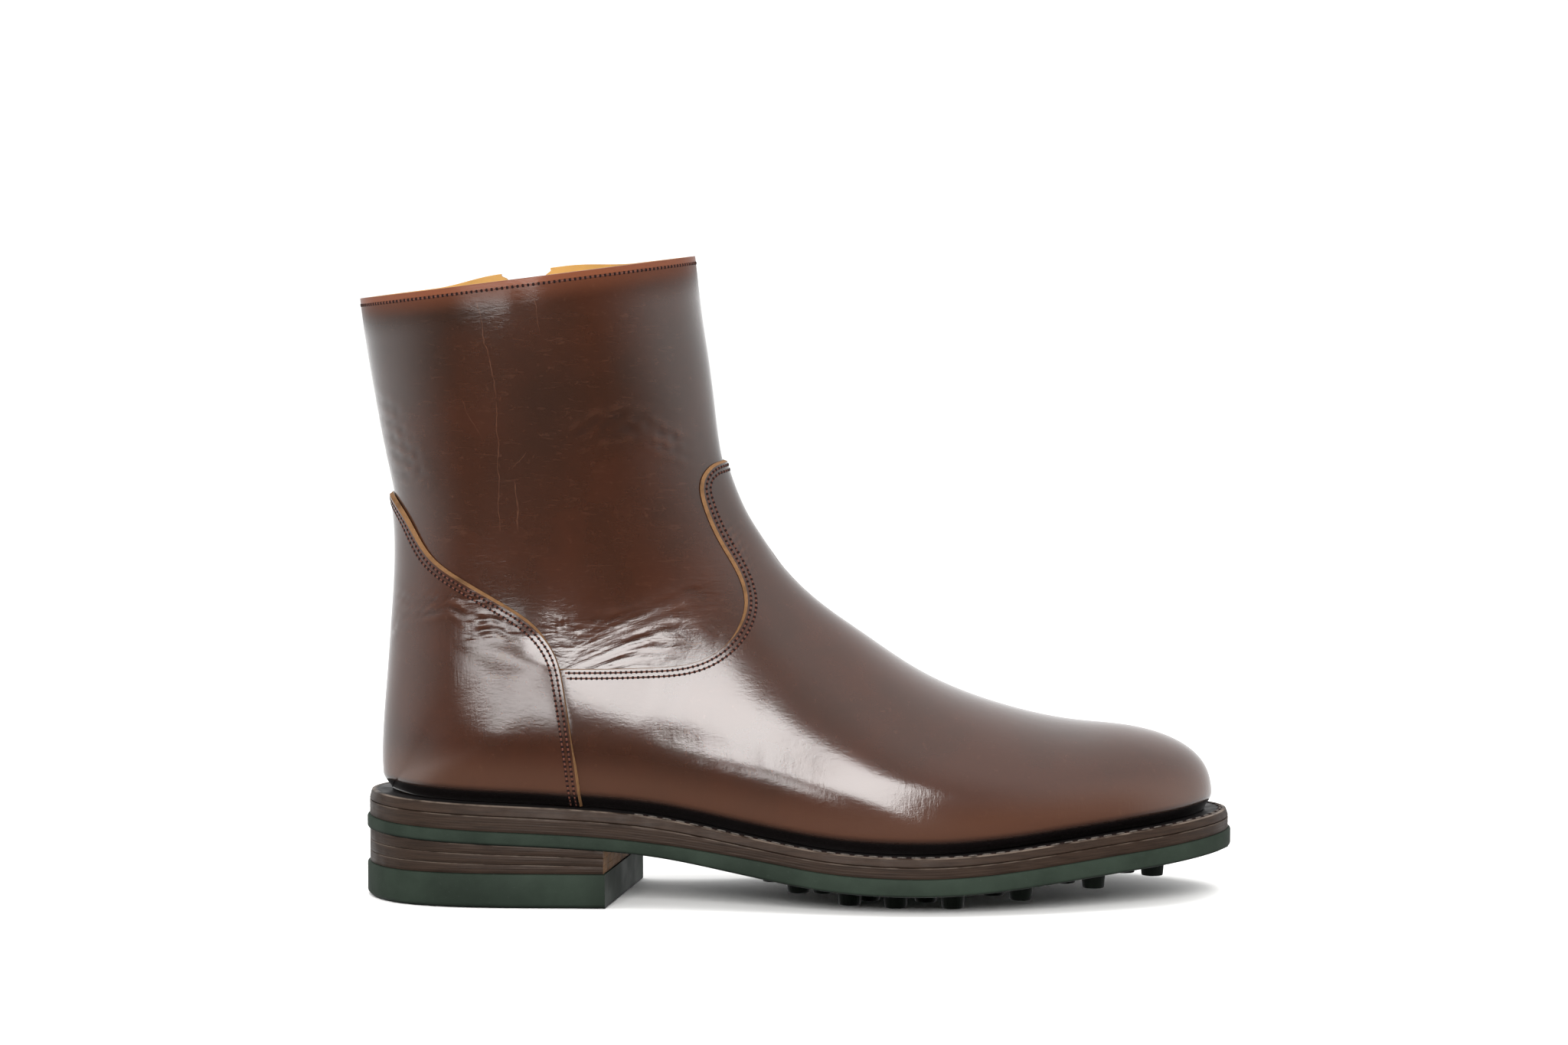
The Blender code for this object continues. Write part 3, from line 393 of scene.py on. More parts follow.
SURROUND_ABOVE = 0.75    # what is above or beside counts as behind the boot by these shares
SURROUND_BESIDE = 0.5
SURROUND_FALL = (-0.75, 0.5)
FLOOR_RADIUS = 14.0
FLOOR_DROP = 0.0002

stitch_lines = {}        # lines that the leather pieces leave for the stitching: name to (points, normals)


# The last and the sole's outline

def metres(points):
    """Points of the tables' frame in the boot's frame."""
    return (np.asarray(points, float) - (FRAME_X, FRAME_Y, 0.0)) * MM


def millimetres(points):
    """Points of the boot's frame in the tables' frame."""
    return np.asarray(points, float) / MM + (FRAME_X, FRAME_Y, 0.0)


def natural_spline(knots, values):
    """The natural cubic spline of values over knots."""
    knots = np.asarray(knots, float)
    values = np.asarray(values, float)
    count = len(knots)
    steps = np.diff(knots)
    slopes = np.diff(values) / steps
    system = np.eye(count)
    right = np.zeros(count)
    for i in range(1, count - 1):
        system[i, i - 1:i + 2] = steps[i - 1], 2 * (steps[i - 1] + steps[i]), steps[i]
        right[i] = 6 * (slopes[i] - slopes[i - 1])
    bend = np.linalg.solve(system, right)

    def curve(at):
        at = np.asarray(at, float)
        i = np.clip(np.searchsorted(knots, at) - 1, 0, count - 2)
        ahead = (at - knots[i]) / steps[i]
        behind = 1 - ahead
        sag = (behind ** 3 - behind) * bend[i] + (ahead ** 3 - ahead) * bend[i + 1]
        return behind * values[i] + ahead * values[i + 1] + sag * steps[i] ** 2 / 6

    return curve


def distance_along(points):
    """Distance of each point of a flat line from its start, along the line."""
    return np.concatenate(([0], np.cumsum(np.hypot(*np.diff(points, axis=0).T))))


def smooth_line(rows, steps):
    """A table of (x, z) rows as a smooth line of points."""
    points = np.array(rows)
    along = distance_along(points)
    at = np.linspace(0, along[-1], steps)
    return np.stack([natural_spline(along, points[:, k])(at) for k in (0, 1)], axis=1)


def unit(vectors):
    return vectors / np.linalg.norm(vectors, axis=1)[:, None]


def along_face(vectors, normals):
    """Vectors without their parts along unit normals."""
    return vectors - normals * np.sum(vectors * normals, axis=1)[:, None]


def smoothstep(low, high, at):
    """A rise from 0 at low to 1 at high, level at both ends."""
    share = np.clip((np.asarray(at, float) - low) / (high - low), 0, 1)
    return share * share * (3 - 2 * share)


def feather_loop(steps, offset):
    """The feather line as a closed loop of points from the heel along the outer side, moved out by offset."""
    lateral = [(row.x, -row.lateral) for row in FEATHER]
    medial = [(row.x, row.medial) for row in reversed(FEATHER)]
    corners = [(FEATHER_REAR, 0.0)] + lateral + [(FEATHER_TOE, TOE_LEAN)] + medial
    wrap = 4
    points = np.array(corners[-wrap:] + corners + corners[:wrap + 1])
    along = distance_along(points)
    at = np.linspace(along[wrap], along[-1 - wrap], steps, endpoint=False)
    curves = [natural_spline(along, points[:, k]) for k in (0, 1)]
    loop = np.stack([curve(at) for curve in curves], axis=1)
    tangent = unit(np.stack([curve(at + 0.05) - curve(at - 0.05) for curve in curves], axis=1))
    return loop + offset * np.stack([tangent[:, 1], -tangent[:, 0]], axis=1)


class Outline:
    """Half-widths of the feather line moved out by an offset, by the distance along the boot."""

    def __init__(self, offset):
        loop = feather_loop(OUTLINE_STEPS, offset)
        loop = np.roll(loop, -int(np.argmin(loop[:, 0])), axis=0)
        toe = int(np.argmax(loop[:, 0]))
        self.rear = loop[0]
        self.toe = loop[toe]
        self.outer = loop[:toe + 1]
        self.inner = np.concatenate((loop[toe:], loop[:1]))[::-1]

    def lateral(self, x):
        return np.interp(x, self.outer[:, 0], self.outer[:, 1])

    def medial(self, x):
        return np.interp(x, self.inner[:, 0], self.inner[:, 1])


sole_edge = natural_spline([row.x for row in SOLE_EDGE], [row.z for row in SOLE_EDGE])
feather = Outline(0.0)


def thickness(layer, x):
    return layer.heel + (layer.forefoot - layer.heel) * smoothstep(LAYERS_START, LAYERS_END, x)


def outsole_top(x):
    return sole_edge(x) + thickness(OUTSOLE, x)


def midsole_top(x):
    return outsole_top(x) + thickness(MIDSOLE, x)


def welt_top(x):
    return midsole_top(x) + thickness(WELT, x)


def girth_curves():
    """Each column of the girth table as a smooth curve over the rows."""
    rows = np.arange(len(GIRTHS))
    names = ("over_x", "over_z", "lateral", "medial", "ridge", "fullness")
    curves = {name: natural_spline(rows, [getattr(row, name) for row in GIRTHS]) for name in names}
    foot = rows[:HEEL_ROW + 1]
    curves["foot_x"] = natural_spline(foot, [GIRTHS[i].under_x for i in foot])
    leg = rows[HEEL_ROW:]
    leg_z = [float(welt_top(FEATHER_REAR)) + GAP] + [GIRTHS[i].under_z for i in leg[1:]]
    curves["leg_x"] = natural_spline(leg, [GIRTHS[i].under_x for i in leg])
    curves["leg_z"] = natural_spline(leg, leg_z)
    return curves


CURVES = girth_curves()


def side_swell(x, z):
    """Share by which heel and waist are wider at a place in side view."""
    height = z - welt_top(x)
    upward = smoothstep(0.0, SWELL_FULL, height) * smoothstep(SWELL_END, SWELL_FULL, height)
    return SIDE_SWELL * upward * smoothstep(SWELL_FRONT, SWELL_FADE, x)


def section(row, rise, inner):
    """Points of the last's sections, on the inner side or the outer one.

    row runs over the girth table and rise from 0 under the foot to 1 on the ridge.
    """
    closed = row >= HEEL_ROW
    under_x = np.where(closed, CURVES["leg_x"](row), CURVES["foot_x"](row))
    under_z = np.where(closed, CURVES["leg_z"](row), welt_top(under_x) + GAP)
    middle = np.where(inner, CURVES["medial"](row), CURVES["lateral"](row))
    edge = np.where(inner, feather.medial(under_x), -feather.lateral(under_x))
    edge = np.where(closed, 0.0, np.maximum(edge, 0.0))
    fullness = CURVES["fullness"](row)
    swell = 2 * (middle ** 2 / (1 - 0.5 ** fullness) - edge ** 2)
    half = np.sqrt(np.maximum((1 - rise ** fullness) * (edge ** 2 + swell * rise), 0.0))
    x = under_x + (CURVES["over_x"](row) - under_x) * rise
    z = under_z + (CURVES["over_z"](row) - under_z) * rise
    y = np.where(inner, half, -half) * (1 + side_swell(x, z)) + CURVES["ridge"](row) * rise
    return np.stack([x, y, z], axis=-1)


def skin(row, across):
    """Points of the last: across runs from -1 (outer edge) over 0 (ridge) to 1 (inner edge).

    The line where the foot's sections meet the leg's is softened, and the collar rises beside the zip.
    """
    row, across = np.broadcast_arrays(np.asarray(row, float), np.asarray(across, float))
    inner = across > 0
    up = 1 - np.abs(across)
    ring = smoothstep(RING_START, HEEL_ROW, row)
    rise = (1 - (1 - up) ** 2) * (1 - ring) + (1 - np.cos(np.pi * up)) / 2 * ring
    point = section(row, rise, inner)
    blur = JOIN_BLUR * smoothstep(2 * JOIN_BLUR, 0.0, np.abs(row - HEEL_ROW)) * smoothstep(0.02, 0.2, rise)
    near = blur > 1e-6
    if near.any():
        shifts = np.linspace(-1, 1, JOIN_STEPS)
        weights = np.cos(shifts * np.pi / 2) ** 2 + 0.02
        parts = [weight * section(row[near] + shift * blur[near], rise[near], inner[near])
                 for shift, weight in zip(shifts, weights)]
        point[near] = sum(parts) / weights.sum()
    lift = COLLAR_RISE * smoothstep(TOP_ROW - COLLAR_RISE_ROWS, TOP_ROW, row) * inner
    x = point[..., 0]
    point[..., 2] += lift * smoothstep(*COLLAR_RISE_REAR, x) * smoothstep(*COLLAR_RISE_FRONT, x)
    return point


def last_frame(row, across):
    """Points of the last and their outward normals."""
    step = 0.004
    point = skin(row, across)
    along = skin(np.minimum(row + step, TOP_ROW), across) - skin(np.maximum(row - step, 0), across)
    over = skin(row, np.minimum(across + step, 1)) - skin(row, np.maximum(across - step, -1))
    normal = np.cross(over, along)
    back = (row >= HEEL_ROW) & (np.abs(across) > 1 - step)
    normal[back, 1] = 0.0
    length = np.linalg.norm(normal, axis=-1)
    normal /= np.maximum(length, 1e-9)[..., None]
    return point, normal


def line_distance(x, z, line):
    """Side-view distance from a line, positive on its left, with the direction across and the share along."""
    start = line[:-1]
    step = np.diff(line, axis=0)
    length = np.hypot(step[:, 0], step[:, 1])
    ahead = step / length[:, None]
    dx = x[:, None] - start[None, :, 0]
    dz = z[:, None] - start[None, :, 1]
    reach = np.clip(dx * ahead[:, 0] + dz * ahead[:, 1], 0, length)
    away_x = dx - reach * ahead[:, 0]
    away_z = dz - reach * ahead[:, 1]
    miss = np.hypot(away_x, away_z)
    left = ahead[:, 0] * dz - ahead[:, 1] * dx
    best = np.argmin(miss - 1e-5 * np.abs(left), axis=1)
    each = np.arange(len(x))
    sign = np.where(left[each, best] >= 0, 1.0, -1.0)
    distance = sign * miss[each, best]
    share = (np.concatenate(([0], np.cumsum(length)))[best] + reach[each, best]) / length.sum()
    across = np.stack([-ahead[best, 1], ahead[best, 0]], axis=1)
    return distance, across, share


def left_of(points, line):
    """Side-view distance of points from a line, positive on its left."""
    return line_distance(points[:, 0], points[:, 2], line)[0]


def surface_distance(points, normals, line, side):
    """Distance over the leather from a side-view line, positive inside the overlay, with the way in."""
    distance, across, _share = line_distance(points[:, 0], points[:, 2], line)
    way = np.stack([across[:, 0], np.zeros(len(points)), across[:, 1]], axis=1) * side
    way = along_face(way, normals)
    slope = np.maximum(np.linalg.norm(way, axis=1), 0.3)
    return side * distance / slope, way / slope[:, None]


# Relief of the leather

def wavered(line):
    """A side-view line with small irregular waves."""
    step = np.gradient(line, axis=0)
    length = np.hypot(step[:, 0], step[:, 1])
    along = np.cumsum(length) / CREASE_WAVE_LENGTH * 2 * np.pi
    start = line[0, 0] + 3 * line[0, 1]
    wave = np.sin(along + start) + 0.6 * np.sin(1.7 * along + 2 * start)
    across = np.stack([-step[:, 1], step[:, 0]], axis=1) / length[:, None]
    return line + CREASE_WAVE * wave[:, None] * across


def near_line(points, line, reach):
    """Which points lie in a side-view line's box, widened by a reach."""
    places = points[:, (0, 2)]
    return ((places > line.min(axis=0) - reach) & (places < line.max(axis=0) + reach)).all(axis=1)


def crease_depth(points, creases, strength):
    """Height of the creases at points: soft troughs with a low swelling on both sides."""
    outer = points[:, 1] < OUTER_SIDE
    total = np.zeros(len(points))
    for crease in creases:
        line = wavered(smooth_line(crease.path, 40))
        for mask, shift, share in ((outer, (0.0, 0.0), 1.0), (~outer, INNER_SHIFT, INNER_CREASE)):
            moved = line + shift
            near = mask & near_line(points, moved, 4 * crease.width)
            if not near.any():
                continue
            distance, _across, along = line_distance(points[near, 0], points[near, 2], moved)
            taper = np.sin(np.pi * np.clip(along, 0.0, 1.0)) ** 0.7
            if crease.width < WIDE_CREASE:
                taper *= 0.75 + 0.35 * np.sin(23.0 * along + line[0, 0])
            trough = np.exp(-(distance / crease.width) ** 2)
            swell = np.exp(-((np.abs(distance) - CREASE_SWELL_AT * crease.width) / crease.width) ** 2)
            total[near] += share * crease.depth * taper * (CREASE_SWELL * swell - trough)
    return strength * total


def fold_share(points, creases):
    """Nearness to creases, where the leather has fine wrinkles too."""
    share = np.zeros(len(points))
    for crease in creases:
        line = smooth_line(crease.path, 10)
        near = near_line(points, line, FOLD_REACH)
        if near.any():
            distance = np.abs(left_of(points[near], line))
            share[near] = np.maximum(share[near], smoothstep(FOLD_REACH, 0.0, distance))
    return share


def unevenness(points):
    """A slow wave of the leather, under a tenth of a millimetre high."""
    x, y, z = points.T
    wave = np.sin(x / 15.0 + 1.2 * np.sin(z / 27.0)) * np.sin(z / 19.0 + 0.8 * np.sin(y / 21.0) + 0.7)
    wave += 0.6 * np.sin(x / 8.3 + z / 12.1 + 0.6) * np.sin(z / 7.7 - x / 23.0)
    return UNEVEN * wave


def leather_points(row, across, layer, creases, strength):
    """Points of a leather face at a layer above the last, creased, and turned in just above the welt."""
    point, normal = last_frame(row, across)
    lift = layer + crease_depth(point, creases, strength) + unevenness(point)
    above = point[:, 2] - welt_top(point[:, 0]) - GAP
    tuck = TUCK * (1 - smoothstep(0.0, TUCK_HIGH, above)) ** 1.5
    level = normal * (1.0, 1.0, 0.0)
    level /= np.maximum(np.linalg.norm(level, axis=1), 1e-6)[:, None]
    moved = point + lift[:, None] * normal - tuck[:, None] * level
    moved[:, 2] = np.maximum(moved[:, 2], welt_top(moved[:, 0]) + GAP)
    return moved


# Modelling helpers

def deselect():
    if bpy.context.mode != "OBJECT":
        bpy.ops.object.mode_set(mode="OBJECT")
    bpy.ops.object.select_all(action="DESELECT")


def pick(thing):
    """Makes an object the only selected and active one."""
    deselect()
    thing.select_set(True)
    bpy.context.view_layer.objects.active = thing


@contextmanager
def editing(thing, mode="VERT", everything=True):
    """Edit mode on one object, with everything selected or as it was."""
    pick(thing)
    bpy.context.tool_settings.mesh_select_mode = (mode == "VERT", mode == "EDGE", mode == "FACE")
    bpy.ops.object.mode_set(mode="EDIT")
    if everything:
        bpy.ops.mesh.select_all(action="SELECT")
    yield
    bpy.ops.object.mode_set(mode="OBJECT")


def name_piece(thing, name):
    thing.name = name
    thing.data.name = name
    return thing


def add_shape(name, add, location=(0, 0, 0), **settings):
    """Adds a primitive that is shaped afterwards."""
    deselect()
    add(location=location, **settings)
    return name_piece(bpy.context.object, name)


def add_grid(name, columns, rows):
    """A flat grid from -1 to 1."""
    return add_shape(name, bpy.ops.mesh.primitive_grid_add, x_subdivisions=columns, y_subdivisions=rows,
                     size=2.0)


def grid_steps(flat, axis, count):
    """Number of each vertex's step along an axis of a flat grid of so many steps."""
    return np.rint((flat[:, axis] + 1) / 2 * count).astype(int)


def coordinates(thing):
    flat = np.empty(len(thing.data.vertices) * 3, np.float32)
    thing.data.vertices.foreach_get("co", flat)
    return flat.reshape(-1, 3).astype(float)


def set_points(thing, points):
    """Puts the vertices at points of the tables' frame."""
    thing.data.vertices.foreach_set("co", metres(points).astype(np.float32).ravel())
    thing.data.update()


def store(thing, name, values):
    """Keeps a number for each vertex on the mesh."""
    attribute = thing.data.attributes.get(name) or thing.data.attributes.new(name, "FLOAT", "POINT")
    attribute.data.foreach_set("value", np.asarray(values, np.float32))


def fetch(thing, name):
    values = np.empty(len(thing.data.vertices), np.float32)
    thing.data.attributes[name].data.foreach_get("value", values)
    return values.astype(float)


def forget(thing, *names):
    for name in names:
        thing.data.attributes.remove(thing.data.attributes[name])


def selected_vertices(thing):
    flags = np.empty(len(thing.data.vertices), bool)
    thing.data.vertices.foreach_get("select", flags)
    return flags


def face_vertices(thing):
    """Vertex numbers of a mesh of triangles."""
    numbers = np.empty(len(thing.data.polygons) * 3, np.int32)
    thing.data.polygons.foreach_get("vertices", numbers)
    return numbers.reshape(-1, 3)


def edge_vertices(thing):
    """Vertex numbers at the ends of a mesh's edges."""
    numbers = np.empty(len(thing.data.edges) * 2, np.int32)
    thing.data.edges.foreach_get("vertices", numbers)
    return numbers.reshape(-1, 2)


def select_faces(thing, chosen):
    thing.data.vertices.foreach_set("select", np.zeros(len(thing.data.vertices), bool))
    thing.data.edges.foreach_set("select", np.zeros(len(thing.data.edges), bool))
    thing.data.polygons.foreach_set("select", np.asarray(chosen, bool))


def face_material(thing, numbers):
    thing.data.polygons.foreach_set("material_index", np.asarray(numbers, np.int32))
    thing.data.update()


def join(thing, other):
    """Makes another object part of a piece."""
    pick(thing)
    other.select_set(True)
    bpy.ops.object.join()


def smooth_piece(thing, angle=40):
    """Shades a piece smooth except over edges sharper than an angle, in degrees."""
    pick(thing)
    bpy.ops.object.shade_smooth_by_angle(angle=math.radians(angle))


def finish_piece(thing, body, nodes, materials=None):
    """Gives a piece its materials and its body, and hides the nodes that it stands for."""
    if materials:
        numbers = np.empty(len(thing.data.polygons), np.int32)
        thing.data.polygons.foreach_get("material_index", numbers)
        thing.data.materials.clear()
        for shade in materials:
            thing.data.materials.append(shade)
        face_material(thing, numbers)
    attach(thing, body)
    if nodes:
        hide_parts(*nodes)


def outward_volume(thing):
    """Turns a closed mesh so that its faces point out."""
    mesh = thing.data
    mesh.calc_loop_triangles()
    corners = np.empty(len(mesh.loop_triangles) * 3, np.int32)
    mesh.loop_triangles.foreach_get("vertices", corners)
    a, b, c = (coordinates(thing)[corners.reshape(-1, 3)[:, k]] for k in range(3))
    if np.sum(a * np.cross(b, c)) < 0:
        with editing(thing, "FACE"):
            bpy.ops.mesh.flip_normals()


def cut_prism(name, line, y_from, y_to):
    """A cutter: a side-view outline pulled along the boot's width."""
    cutter = add_shape(name, bpy.ops.mesh.primitive_circle_add, vertices=len(line), fill_type="NGON")
    order = np.argsort(np.arctan2(coordinates(cutter)[:, 1], coordinates(cutter)[:, 0]))
    points = np.empty((len(line), 3))
    points[order] = [(x, y_from, z) for x, z in line]
    set_points(cutter, points)
    with editing(cutter, "FACE"):
        bpy.ops.mesh.extrude_region_move(
            TRANSFORM_OT_translate={"value": (0.0, (y_to - y_from) * MM, 0.0)})
    outward_volume(cutter)
    return cutter


def cut_away(thing, cutter):
    step = thing.modifiers.new("Cut", "BOOLEAN")
    step.operation = "DIFFERENCE"
    step.solver = "EXACT"
    step.object = cutter
    pick(thing)
    bpy.ops.object.modifier_apply(modifier=step.name)


def remove(thing):
    mesh = thing.data
    bpy.data.objects.remove(thing, do_unlink=True)
    bpy.data.meshes.remove(mesh)


def contour(points, normals, values, triangles, level):
    """Lines over a triangle mesh where a value takes a level, as arrays of points and normals."""
    side = values > level
    corner = side[triangles]
    mixed = triangles[corner.any(axis=1) & ~corner.all(axis=1)]
    links = {}
    for triangle in mixed:
        ends = []
        for a, b in ((0, 1), (1, 2), (2, 0)):
            i, j = int(triangle[a]), int(triangle[b])
            if side[i] != side[j]:
                ends.append((min(i, j), max(i, j)))
        links.setdefault(ends[0], []).append(ends[1])
        links.setdefault(ends[1], []).append(ends[0])
    lines = []
    free = set(links)
    starts = [edge for edge in links if len(links[edge]) == 1] + list(links)
    for start in starts:
        if start not in free:
            continue
        chain = [start]
        free.discard(start)
        while True:
            onward = [edge for edge in links[chain[-1]] if edge in free]
            if not onward:
                break
            chain.append(onward[0])
            free.discard(onward[0])
        pairs = np.array(chain)
        low, high = pairs[:, 0], pairs[:, 1]
        share = ((level - values[low]) / (values[high] - values[low]))[:, None]
        direction = unit(normals[low] + (normals[high] - normals[low]) * share)
        lines.append((points[low] + (points[high] - points[low]) * share, direction))
    return lines


def values_along(at, along, values):
    """Rows of values, given at distances along a line, at other distances."""
    return np.stack([np.interp(at, along, values[:, k]) for k in range(3)], axis=1)


def stepped(line, pitch):
    """Places along a line, given as points and normals, at an even pitch: points, ways ahead and normals."""
    points, normals = line
    gaps = np.linalg.norm(np.diff(points, axis=0), axis=1)
    along = np.concatenate(([0], np.cumsum(gaps)))
    count = int(along[-1] / pitch)
    at = (np.arange(count) + 0.5) * along[-1] / max(count, 1)
    near = 0.8
    ahead = values_along(at + near, along, points) - values_along(at - near, along, points)
    return values_along(at, along, points), ahead, values_along(at, along, normals)


def frames_of(ahead, up):
    """Turning matrices whose columns run along a line, across it and out of the surface."""
    ahead = unit(ahead)
    up = unit(along_face(up, ahead))
    return np.stack([ahead, np.cross(up, ahead), up], axis=2)


def scatter(name, pattern, place, turns, scale=None):
    """One mesh of copies of a pattern, in millimetres, at places with turning matrices."""
    shape = coordinates(pattern) / MM
    sizes = np.ones((len(place), 3)) if scale is None else scale
    points = np.einsum("nij,nkj->nki", turns, shape[None] * sizes[:, None]) + place[:, None]
    faces = [tuple(face.vertices) for face in pattern.data.polygons]
    count = len(shape)
    every = [tuple(i + k * count for i in face) for k in range(len(place)) for face in faces]
    mesh = bpy.data.meshes.new(name)
    mesh.from_pydata(metres(points.reshape(-1, 3)).tolist(), [], every)
    mesh.polygons.foreach_set("use_smooth", np.ones(len(every), bool))
    thing = bpy.data.objects.new(name, mesh)
    bpy.context.scene.collection.objects.link(thing)
    return thing


# Materials

def tint(colour, factor):
    """A colour made lighter or darker by a factor."""
    return [c * factor for c in colour]


class Tree:
    """A node tree that is filled by short calls."""

    def __init__(self, tree):
        self.nodes = tree.nodes
        self.links = tree.links

    def link(self, source, target):
        self.links.new(source, target)

    def node(self, kind, **settings):
        node = self.nodes.new(kind)
        for name, value in settings.items():
            setattr(node, name, value)
        return node

    def put(self, socket, value):
        """Sets a socket to a number or colour, or links another node's output to it."""
        if isinstance(value, bpy.types.NodeSocket):
            self.link(value, socket)
        else:
            socket.default_value = value

    def part(self, vector, letter):
        """One coordinate of a vector."""
        node = self.node("ShaderNodeSeparateXYZ")
        self.link(vector, node.inputs[0])
        return node.outputs[letter]

    def math(self, operation, first, second=0.0, third=0.0, clamp=False):
        node = self.node("ShaderNodeMath", operation=operation, use_clamp=clamp)
        for socket, value in zip(node.inputs, (first, second, third)):
            self.put(socket, value)
        return node.outputs[0]

    def span(self, value, low, high, to_low=0.0, to_high=1.0):
        """Carries a value from one span to another, softly at both ends."""
        node = self.node("ShaderNodeMapRange", interpolation_type="SMOOTHSTEP")
        self.put(node.inputs["Value"], value)
        sockets = ("From Min", "From Max", "To Min", "To Max")
        for socket, number in zip(sockets, (low, high, to_low, to_high)):
            node.inputs[socket].default_value = number
        return node.outputs["Result"]


class Finish(Tree):
    """A material's nodes. Patterns lie on Object coordinates, in metres."""

    def __init__(self, name, **constants):
        self.material = bpy.data.materials.new(name)
        self.material.use_nodes = True
        super().__init__(self.material.node_tree)
        self.surface = self.nodes["Principled BSDF"]
        for socket, value in constants.items():
            self.surface.inputs[socket.replace("_", " ")].default_value = value
        self.place = self.node("ShaderNodeTexCoord").outputs["Object"]
        self.normal = None

    def texture(self, kind, stretch=None, settings=None, **inputs):
        """A texture node on the place, which may be stretched, with its inputs set."""
        node = self.node(kind, **(settings or {}))
        place = self.place
        if stretch:
            mapping = self.node("ShaderNodeMapping")
            mapping.inputs["Scale"].default_value = stretch
            self.link(place, mapping.inputs["Vector"])
            place = mapping.outputs["Vector"]
        self.link(place, node.inputs["Vector"])
        for socket, value in inputs.items():
            node.inputs[socket].default_value = value
        return node.outputs

    def noise(self, scale, detail=3.0, roughness=0.5, stretch=None, distortion=0.0):
        return self.texture("ShaderNodeTexNoise", stretch, Scale=scale, Detail=detail, Roughness=roughness,
                            Distortion=distortion)["Fac"]

    def cells(self, scale):
        return self.texture("ShaderNodeTexVoronoi", Scale=scale)["Distance"]

    def wave(self, scale, direction):
        return self.texture("ShaderNodeTexWave", settings={"bands_direction": direction}, Scale=scale)["Fac"]

    def attribute(self, name):
        return self.node("ShaderNodeAttribute", attribute_name=name).outputs["Fac"]

    def blend(self, share, first, second):
        node = self.node("ShaderNodeMix", data_type="RGBA")
        self.put(node.inputs["Factor"], share)
        for socket, value in ((node.inputs[6], first), (node.inputs[7], second)):
            self.put(socket, value if isinstance(value, bpy.types.NodeSocket) else (*tuple(value)[:3], 1.0))
        return node.outputs[2]

    def bump(self, height, depth, strength):
        """Adds relief of a depth in millimetres."""
        node = self.node("ShaderNodeBump")
        node.inputs["Strength"].default_value = strength
        node.inputs["Distance"].default_value = depth * MM
        self.link(height, node.inputs["Height"])
        if self.normal:
            self.link(self.normal, node.inputs["Normal"])
        self.normal = node.outputs["Normal"]

    def done(self, colour, roughness=None):
        self.link(colour, self.surface.inputs["Base Color"])
        if roughness:
            self.link(roughness, self.surface.inputs["Roughness"])
        if self.normal:
            self.link(self.normal, self.surface.inputs["Normal"])
            self.link(self.normal, self.surface.inputs["Coat Normal"])
        return self.material


def scar_mask(finish):
    """Share of the pale scars on the outer side of the shaft."""
    x = finish.part(finish.place, "X")
    z = finish.part(finish.place, "Z")
    total = None
    ragged = finish.span(finish.noise(240.0, 3.0), 0.35, 0.6, 0.35, 1.0)
    waver = finish.span(finish.noise(150.0, 2.0), 0.2, 0.8, -0.0007, 0.0007)
    for scar in SCARS:
        slope = (scar.high_x - scar.low_x) / (scar.high_z - scar.low_z)
        start = (scar.low_x - slope * scar.low_z - FRAME_X) * MM
        middle = finish.math("ADD", finish.math("MULTIPLY_ADD", z, slope, start), waver)
        miss = finish.math("ABSOLUTE", finish.math("SUBTRACT", x, middle))
        line = finish.span(miss, 0.0, scar.width * MM, 0.7 * scar.strength, 0.0)
        below = finish.span(z, scar.low_z * MM, (scar.low_z + SCAR_TAPER) * MM)
        above = finish.span(z, (scar.high_z - SCAR_TAPER) * MM, scar.high_z * MM, 1.0, 0.0)
        line = finish.math("MULTIPLY", line, finish.math("MULTIPLY", below, above))
        total = line if total is None else finish.math("MAXIMUM", total, line)
    outer = finish.span(finish.part(finish.place, "Y"), -0.012, -0.008, 1.0, 0.0)
    return finish.math("MULTIPLY", finish.math("MULTIPLY", total, ragged), outer)


